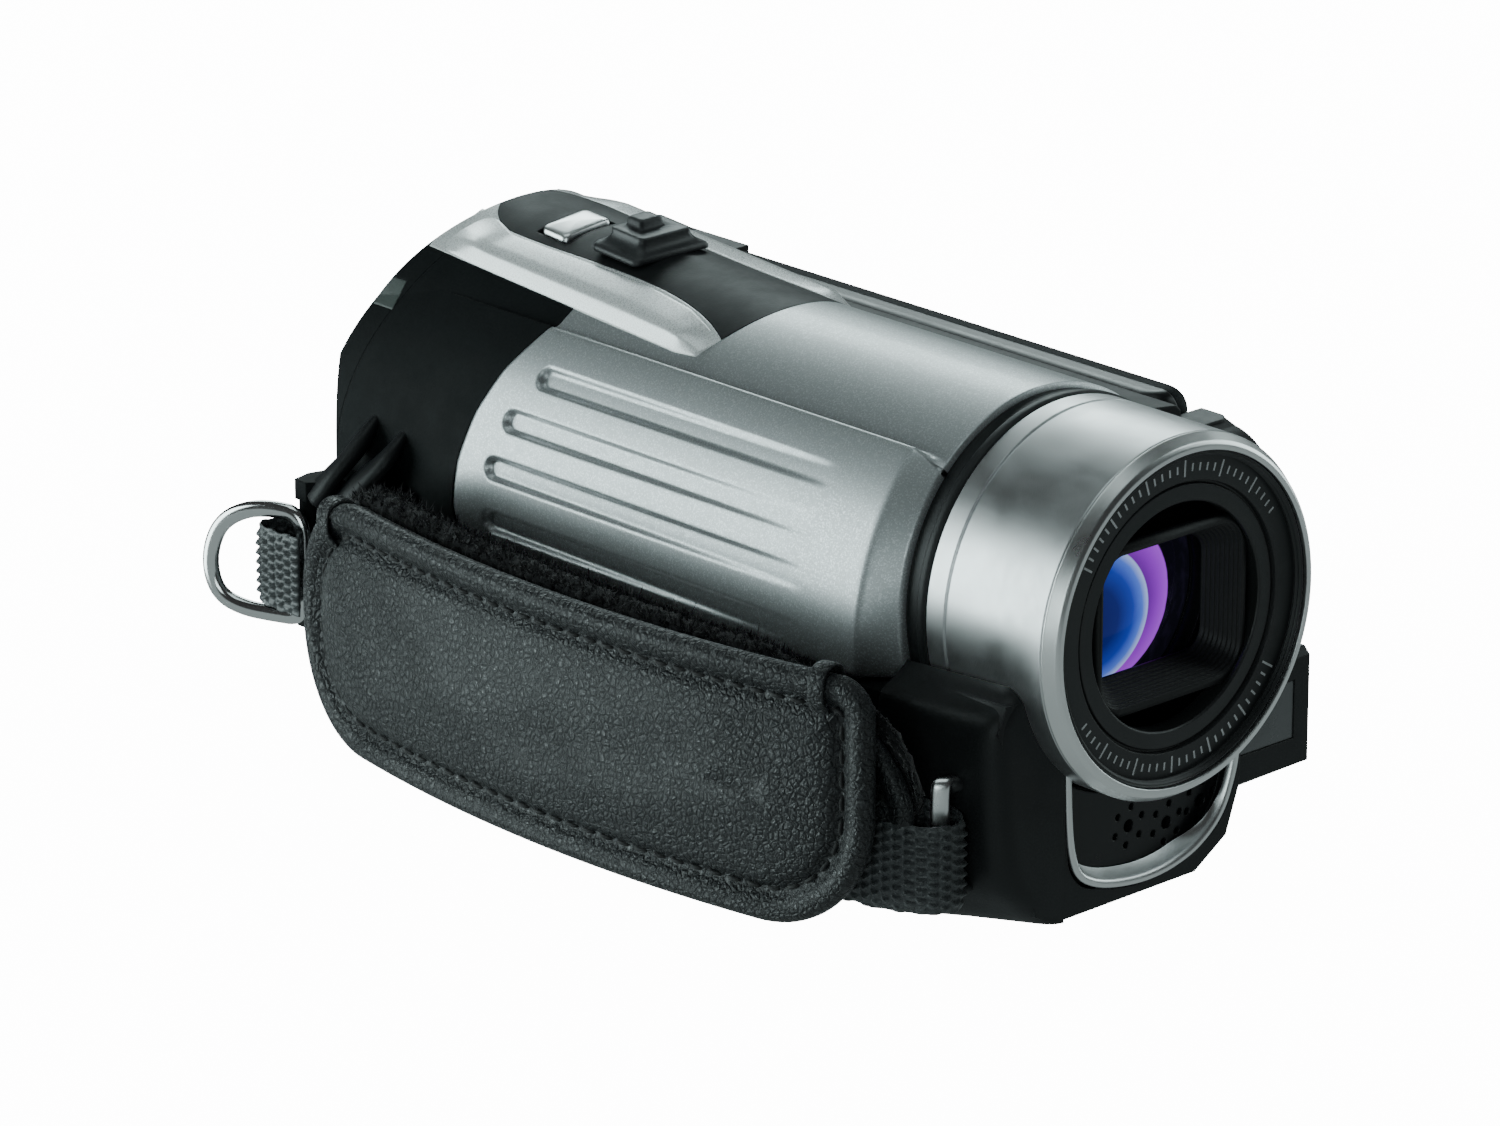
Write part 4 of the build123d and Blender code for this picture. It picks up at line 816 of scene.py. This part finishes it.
def microphone_trim():
    """Bright trim round the microphone recess; along the bottom it runs back as a lip."""
    line = resample(smooth_path(TRIM_LINE, 3), 0.4)
    ahead = np.gradient(line, axis=0)
    ahead /= np.linalg.norm(ahead, axis=1, keepdims=True)
    verts = []
    for (x, z), (dx, dz) in zip(line, ahead):
        low = float(step((9.5 - z) / 6.0))
        lip = 0.9 + 0.8 * low
        deep = 1 - 0.7 * float(step((x - 5.5) / 5.0))
        profile = ((0.05, 0.3), (0.0, -0.1), (0.12, -0.32), (0.4, -0.4), (0.75, -0.36), (0.95, -0.2), (1.05, 0.1),
                   (0.6 + 0.55 * lip, (0.1 + 0.8 * low) * deep + 0.2), (0.15 + lip, 1.55 * deep))
        verts += [(x - dz * inset, FRONT_FACE + 0.2 + back, z + dx * inset) for inset, back in profile]
    count = len(profile)
    faces = grid_faces(len(line), count)
    piece("microphone_lip", verts, faces, SATIN, stands_for=["microphone_trim"])


microphone_trim()


# ---- hand strap ---------------------------------------------------------------------
def on_strap(along, z, height):
    """A point at this distance along the strap, height out from its CAD outer face."""
    a = along / STRAP_R
    reach = STRAP_R + height
    return (STRAP_CENTRE[0] - reach * math.cos(a), STRAP_CENTRE[1] + reach * math.sin(a), z)


PAD_THICK, ROLL = 4.5, 1.45  # thickness of the pad and radius of its rolled edge
PAD_CORNERS = (13.5, 4.5, 14.5, 14.0)  # rear top, front top, front bottom, rear bottom
STITCH_IN = 3.9  # stitch line, in from the pad's edge


def pad_profile():
    """(distance in from the edge, height) from the back of the pad round its rolled edge."""
    profile = [(9.0, -PAD_THICK + 0.1), (4.0, -PAD_THICK)]
    for k in range(13):
        a = math.radians(-90 + 180 * k / 12)
        profile.append((ROLL - ROLL * math.cos(a), -ROLL - 0.1 + ROLL * math.sin(a)))
    profile += [(2.3, -0.3), (2.9, -0.72), (3.4, -1.2), (STITCH_IN, -1.4), (4.3, -1.22), (4.8, -0.72)]
    profile += [(5.5, -0.34), (6.6, -0.08), (8.2, 0.1), (10.2, 0.22), (12.4, 0.28), (15.05, 0.3)]
    return profile


def pad_ring(inset, height, per_corner=28):
    """One closed loop over the pad at this distance in from its outline."""
    a0, a1, z0, z1 = STRAP_SPAN
    half_a, half_z = (a1 - a0) / 2, (z1 - z0) / 2
    radii = [corner - inset for corner in PAD_CORNERS]
    loop = rounded_rect(half_a - inset, half_z - inset, radii, per_corner)
    return [(a, z + (z0 + z1) / 2, height) for a, z in loop]


def strap_pad():
    """Padded outer face: rolled edge all round, stitched groove and a soft crowned panel."""
    outline = np.array(pad_ring(0, 0))
    outline = np.concatenate([outline, outline[:1]])
    along = np.concatenate([[0], np.cumsum(np.linalg.norm(np.diff(outline, axis=0), axis=1))])
    count = int(along[-1] / 2) * 2
    places = np.linspace(0, along[-1], count, endpoint=False)
    verts, rings = [], 0
    for inset, height in pad_profile():
        line = np.array(pad_ring(inset, height))
        line = np.concatenate([line, line[:1]])
        rings += 1
        for place in places:
            a, z, h = (np.interp(place, along, line[:, k]) for k in range(3))
            puff = 0.0
            if inset > STITCH_IN:
                share = min(1.0, (inset - STITCH_IN) / 6)
                puff = 0.22 * share * math.sin(a * 0.21 + z * 0.13) * math.sin(z * 0.37 - a * 0.07)
            pucker = 0.09 * math.cos(2 * math.pi * place / STITCH_PITCH)
            verts.append(on_strap(a, z, h + puff + pucker * math.exp(-((inset - STITCH_IN) ** 2) / 0.9)))
    faces = grid_faces(rings, count, False, True)
    last = (rings - 1) * count
    faces += [
        (last + i, last + i + 1, last + count - i - 2, last + count - i - 1) for i in range(count // 2 - 1)
    ]
    piece("strap_outer", verts, faces, "strap_leather", stands_for=["strap_pad"])


STITCH_PITCH, STITCH_LONG, STITCH_WIDE = 2.9, 2.1, 0.5


def stitches(name, path, depth):
    """Thread along a path on the strap, one rounded stitch after another in its groove."""
    per, span = int(STITCH_PITCH / 0.3), int(STITCH_LONG / 0.3)
    verts, faces = [], []
    for start in range(0, len(path) - per, per):
        run = path[start : start + span]
        line = []
        for k, point in enumerate(run):
            rise = math.sin(math.pi * k / (len(run) - 1))
            line.append(on_strap(point[0], point[1], depth + 0.42 * rise**0.5))
        v, f = tube(line, STITCH_WIDE, 0.45, False, 8, normal=(-1, 0, 0))
        faces += [tuple(n + len(verts) for n in face) for face in f]
        verts += v
    piece(name, verts, faces, SEAM_THREAD)


strap_pad()
stitches("strap_stitches", resample(pad_ring(STITCH_IN, 0), 0.3, True), -1.6)


def strip(path, side, width, thick, sides=14):
    """Vertices and faces of a flat band with rounded edges whose width runs along side."""
    path = resample(path, 0.35)
    side = np.array(side, float) / np.linalg.norm(side)
    verts = []
    for i, here in enumerate(path):
        along = path[min(i + 1, len(path) - 1)] - path[max(i - 1, 0)]
        up = np.cross(along / np.linalg.norm(along), side)
        for k in range(sides):
            a = 2 * math.pi * k / sides
            c, s = math.cos(a), math.sin(a)
            c, s = math.copysign(abs(c) ** 0.55, c), math.copysign(abs(s) ** 0.75, s)
            verts.append(here + side * width / 2 * c + up * thick / 2 * s)
    faces = grid_faces(len(path), sides, False, True)
    faces.append(tuple(range(sides - 1, -1, -1)))
    faces.append(tuple((len(path) - 1) * sides + k for k in range(sides)))
    return verts, faces


KEEPER_OVER = ((26.6, -1.3), (27.6, -0.5), (28.4, 0.15), (30.2, 0.25), (31.6, -0.2), (32.15, -1.6), (31.8, -3.2),
               (30.2, -4.3), (27.5, -4.6))


def keepers():
    """Small leather bands folded over the pad's top roll near its two ends."""
    verts, faces = [], []
    for along, width, drop in ((-41.4, 2.1, 0.0), (40.6, 2.6, 1.6)):
        path = smooth_path([on_strap(along, z - drop, h) for z, h in KEEPER_OVER], 2)
        side = np.array(on_strap(along + 1, 20, 0)) - np.array(on_strap(along - 1, 20, 0))
        v, f = strip(path, side, width, 0.55)
        faces += [tuple(n + len(verts) for n in face) for face in f]
        verts += v
    piece("pad_keepers", verts, faces, "strap_leather")


keepers()

TAB_EDGE = ((-30.0, 26.4), (-38.6, 26.3), (-41.8, 25.8), (-45.4, 23.7), (-48.4, 20.4), (-50.2, 16.9), (-50.4, 14.4))
TAB_ROLL = 1.15
TAB_STITCH = 3.3


def tab_points(inset):
    """Points along the tab's edge, moved in by inset, as (along the strap, z)."""
    line = resample(smooth_path(TAB_EDGE, 3), 0.35)
    ahead = np.gradient(line, axis=0)
    ahead /= np.linalg.norm(ahead, axis=1, keepdims=True)
    return line + np.stack([-ahead[:, 1], ahead[:, 0]], 1) * inset


def strap_tab():
    """Leather tab behind the pad's front end, with a rolled edge and a stitch line."""
    profile = [(5.0, -6.6), (2.0, -6.6)]
    for k in range(11):
        a = math.radians(-90 + 180 * k / 10)
        profile.append((TAB_ROLL - TAB_ROLL * math.cos(a), -5.45 + TAB_ROLL * math.sin(a)))
    profile += [(1.8, -4.5), (2.4, -4.95), (TAB_STITCH, -5.5), (3.9, -5.35), (5.0, -5.15), (6.5, -5.1), (8.0, -5.15)]
    profile.append((8.0, -6.5))
    verts = []
    for inset, height in profile:
        verts += [on_strap(a, z, height) for a, z in tab_points(inset)]
    count = len(tab_points(0))
    faces = grid_faces(len(profile), count, True, False)
    faces.append(tuple(i * count for i in range(len(profile))))
    faces.append(tuple(i * count + count - 1 for i in reversed(range(len(profile)))))
    piece("tab_leather", verts, faces, "strap_leather", stands_for=["strap_tab"])


strap_tab()
stitches("tab_stitches", tab_points(TAB_STITCH), -5.5)

PILE_TOP = ((-50.4, 17.6), (-49.0, 21.6), (-46.4, 24.9), (-43.0, 27.0), (-38.6, 28.2), (-30.0, 30.6), (0.0, 31.4),
            (38.0, 31.4), (45.0, 29.0))
PILE_BOTTOM = ((-50.4, 15.0), (-40.0, 14.8), (-29.0, 14.6), (-27.0, 2.4), (38.0, 2.4), (45.0, 5.0))
PILE_OUT, PILE_IN = -4.75, -7.7


def strap_pile():
    """Fleece lining of the strap, with a ragged surface and loose tufts along its edges."""
    rng = np.random.default_rng(11)
    stations = np.arange(-50.2, 44.9, 0.4)
    loop = []
    for k in range(34):
        loop.append((k / 33, PILE_OUT, 0.0))
    for k in range(1, 8):
        a = math.pi * k / 8
        middle, half = (PILE_OUT + PILE_IN) / 2, (PILE_OUT - PILE_IN) / 2
        loop.append((1.0, middle + half * math.cos(a), math.sin(a) * half * 0.8))
    for k in range(34):
        loop.append((1 - k / 33, PILE_IN, 0.0))
    verts = []
    for a in stations:
        low, high = np.interp(a, *zip(*PILE_BOTTOM)), np.interp(a, *zip(*PILE_TOP))
        for share, height, rise in loop:
            jig = rng.normal(0, 0.13, 3)
            z = low + (high - 1.2 - low) * share + rise + jig[0]
            if a < -36:
                height = min(height, -6.8)
            verts.append(on_strap(a + jig[1], z, height + jig[2] * (1.4 if share > 0.8 else 0.7)))
    faces = grid_faces(len(stations), len(loop), False, True)
    faces.append(tuple(range(len(loop) - 1, -1, -1)))
    faces.append(tuple((len(stations) - 1) * len(loop) + k for k in range(len(loop))))
    piece("strap_fleece", verts, faces, "strap_pile", stands_for=["strap_lining"])
    verts, faces = [], []
    for _ in range(5200):
        a = rng.uniform(-38.0, 44.5)
        high = np.interp(a, *zip(*PILE_TOP)) - 0.7
        root = np.array((a, high + rng.normal(0, 0.35), rng.uniform(PILE_IN, PILE_OUT)))
        lean = rng.normal(0, 0.45, 3) + (0, 0.6, 0)
        wide = rng.normal(0, 0.09, 3)
        base = len(verts)
        for point in (root - wide, root + wide, root + lean * 0.6 + wide * 0.6, root + lean):
            verts.append(on_strap(*point))
        faces += [(base, base + 1, base + 2), (base, base + 2, base + 3)]
    piece("fleece_tufts", verts, faces, "strap_pile")


strap_pile()

WEAVE_RIB, WEAVE_KNOT = 1.3, 1.15  # pitch of the webbing's ribs along it, and up it


def weave(name, path, low, stands_for):
    """Webbing from a path of (x, y, top z): columns of knots with grooves between them."""
    line = resample(smooth_path(path, 2), 0.17)
    ahead = np.gradient(line[:, :2], axis=0)
    ahead /= np.linalg.norm(ahead, axis=1, keepdims=True)
    levels = 62
    verts = []
    for i, (x, y, high) in enumerate(line):
        along = i * 0.17
        rib = abs(math.sin(math.pi * along / WEAVE_RIB)) ** 0.7
        column = int(along / WEAVE_RIB)
        out = np.array((-ahead[i][1], ahead[i][0], 0))
        for side in (1, -1):
            for k in range(levels):
                share = k / (levels - 1) if side > 0 else 1 - k / (levels - 1)
                z = low + (high - low) * share
                knot = 0.5 + 0.5 * math.cos(2 * math.pi * (z / WEAVE_KNOT + 0.5 * (column % 2) + 0.22 * rib))
                edge = min(1.0, 5 * min(share, 1 - share) + 0.25)
                off = (0.12 + 0.58 * rib * (0.1 + 0.9 * knot**1.6)) * edge
                verts.append(np.array((x, y, z + 0.12 * rib * math.sin(column * 2.4))) + out * side * off)
    count = 2 * levels
    faces = grid_faces(len(line), count, False, True)
    faces.append(tuple(range(count - 1, -1, -1)))
    faces.append(tuple((len(line) - 1) * count + k for k in range(count)))
    piece(name, verts, faces, "strap_webbing", stands_for=stands_for)


def inside_strap(y, depth, top):
    """A webbing path point that lies depth inside the strap's outer face."""
    reach = STRAP_R - depth
    return (STRAP_CENTRE[0] - math.sqrt(reach**2 - (y - STRAP_CENTRE[1]) ** 2), y, top)


weave(
    "front_weave",
    [
        inside_strap(-29, 5.25, 14.0), inside_strap(-42, 5.25, 14.0), (-28.6, -45.9, 14.0), (-26.6, -46.6, 14.0),
        (-24.8, -46.1, 14.2), (-24.1, -44.4, 14.6), (-24.9, -42.4, 15.4), inside_strap(-38, 6.65, 16.4),
        inside_strap(-29, 6.65, 16.4),
    ],
    3.9, ["front_webbing"],
)
weave(
    "rear_weave",
    [
        (-35.3, 52.6, 23.3), (-35.7, 59.6, 23.3), (-33.6, 60.8, 23.3), (-28.4, 59.0, 23.3), (-28.4, 55.0, 23.3),
        (-32.2, 52.6, 23.3),
    ],
    13.7, ["rear_webbing"],
)

# ---- strap ring and front bar -------------------------------------------------------
RING_AT, RING_ALONG = np.array((-32.6, 55.2, 18.55)), np.array((-0.349, 0.937, 0))
RING_LINE = ((-0.1, 6.3), (4.0, 6.6), (7.6, 5.9), (10.8, 3.9), (12.3, 0.6), (12.4, -2.6), (11.2, -5.2), (8.2, -6.3),
             (4.0, -6.4), (-0.1, -6.3), (-0.1, 0.0))


def strap_ring():
    """Rounded D-shaped ring of flattened wire."""
    outline = resample(smooth_path(RING_LINE, 3, True), 0.4, True)
    path = [RING_AT + RING_ALONG * a + (0, 0, z) for a, z in outline]
    verts, faces = tube(path, 2.0, 1.5, True, 16, 0.9, normal=np.cross(RING_ALONG, (0, 0, 1)))
    piece("d_ring", verts, faces, "polished_metal", "strap_ring", ["strap_ring"])


strap_ring()

BAR_X, BAR_Y = -26.4, -44.0


def front_bar():
    """Upright bar of the front strap mount, and the two posts that hold it off the body."""
    line = [
        (-25.0, BAR_Y, 17.9), (-25.9, BAR_Y, 18.3), (BAR_X, BAR_Y, 17.6), (BAR_X, BAR_Y, 10), (BAR_X, BAR_Y, 4.6),
    ]
    verts, faces = strip(smooth_path(line, 2), (0.73, -0.68, 0), 2.1, 1.1, 18)
    piece("front_bar", verts, faces, SATIN, stands_for=["strap_bar"])
    verts, faces = [], []
    for z in (17.5, 5.4):
        path = [(-18.5, BAR_Y, z), (-23.4, BAR_Y, z), (-25.2, BAR_Y, z)]
        v, f = tube(path, 2.4, 1.7, False, 20, 0.8)
        faces += [tuple(n + len(verts) for n in face) for face in f]
        verts += v
    piece("front_bar_posts", verts, faces, "black_plastic")


front_bar()

# ---- camera, floor and lights -------------------------------------------------------
CAMERA_AT = (-0.5551, -0.58035, 0.30876)
AZIMUTH, TILT, FOCAL = math.radians(43.036), math.radians(19.436), 180.33


def camera():
    """Camera in front of the grip side, a little above the object."""
    data = bpy.data.cameras.new("camera")
    data.lens = FOCAL
    data.sensor_width = 36.0
    data.sensor_fit = "HORIZONTAL"
    data.clip_start = 0.05
    obj = bpy.data.objects.new("camera", data)
    bpy.context.scene.collection.objects.link(obj)
    level = math.cos(TILT)
    ahead = Vector((math.sin(AZIMUTH) * level, math.cos(AZIMUTH) * level, -math.sin(TILT)))
    right = Vector((math.cos(AZIMUTH), -math.sin(AZIMUTH), 0))
    up = right.cross(ahead)
    turn = Matrix((right, up, -ahead)).transposed().to_4x4()
    obj.matrix_world = Matrix.Translation(CAMERA_AT) @ turn
    bpy.context.scene.camera = obj


FLOOR_GLOW = 14.0  # keeps the floor near white without lighting the object from below


def floor():
    """A plain pale floor."""
    mesh = bpy.data.meshes.new("floor")
    half = 6.0
    corners = [(-half, -half, 0), (half, -half, 0), (half, half, 0), (-half, half, 0)]
    mesh.from_pydata(corners, [], [(0, 1, 2, 3)])
    obj = bpy.data.objects.new("floor", mesh)
    bpy.context.scene.collection.objects.link(obj)
    look = Look("pale_floor", (0.93, 0.93, 0.93), 0.75)
    look.tint(look.span(look.noise(3, 2), 0.3, 0.7), 0.99, 1.01)
    look.set("Emission Color", (1, 1, 1, 1))
    look.set("Emission Strength", FLOOR_GLOW)
    mesh.materials.append(look.mat)
    obj.visible_glossy = False
    obj.visible_diffuse = False
    obj.visible_shadow = False


def softbox(name, place, target, width, height, power, colour=(1, 1, 1)):
    """A rectangular studio light aimed at a point."""
    data = bpy.data.lights.new(name, "AREA")
    data.shape = "RECTANGLE"
    data.size, data.size_y = width, height
    data.energy = power
    data.color = colour
    obj = bpy.data.objects.new(name, data)
    bpy.context.scene.collection.objects.link(obj)
    obj.location = place
    obj.rotation_euler = (Vector(target) - Vector(place)).to_track_quat("-Z", "Y").to_euler()


camera()
floor()
world = bpy.data.worlds.new("studio")
world.use_nodes = True
world.node_tree.nodes["Background"].inputs["Color"].default_value = (1.0, 1.0, 1.0, 1)
world.node_tree.nodes["Background"].inputs["Strength"].default_value = 0.03
bpy.context.scene.world = world
COOL = (0.837, 1.000, 0.995)
softbox("left_back", (-0.86, 0.84, 0.05), (0, 0, 0.03), 0.75, 1.06, 12.6, COOL)
softbox("back_top", (0.66, 0.84, 0.59), (0, 0, 0.03), 0.75, 0.28, 4.6, COOL)
softbox("camera_left", (-1.0, -0.62, 0.20), (0, 0, 0.03), 0.55, 0.5, 2.2, COOL)
softbox("overhead", (-0.15, 0.1, 1.3), (0, 0, 0.03), 0.9, 0.9, 2.6, COOL)
softbox("front_right", (0.77, -0.38, 0.80), (0, 0, 0.03), 0.35, 0.35, 0.9, COOL)
softbox("right_fill", (1.0, -0.2, 0.25), (0, 0, 0.03), 0.7, 0.7, 3.2, COOL)
softbox("table_bounce", (-0.3, -0.3, -0.2), (-0.3, -0.3, 1.0), 3.0, 3.0, 8.0, COOL)
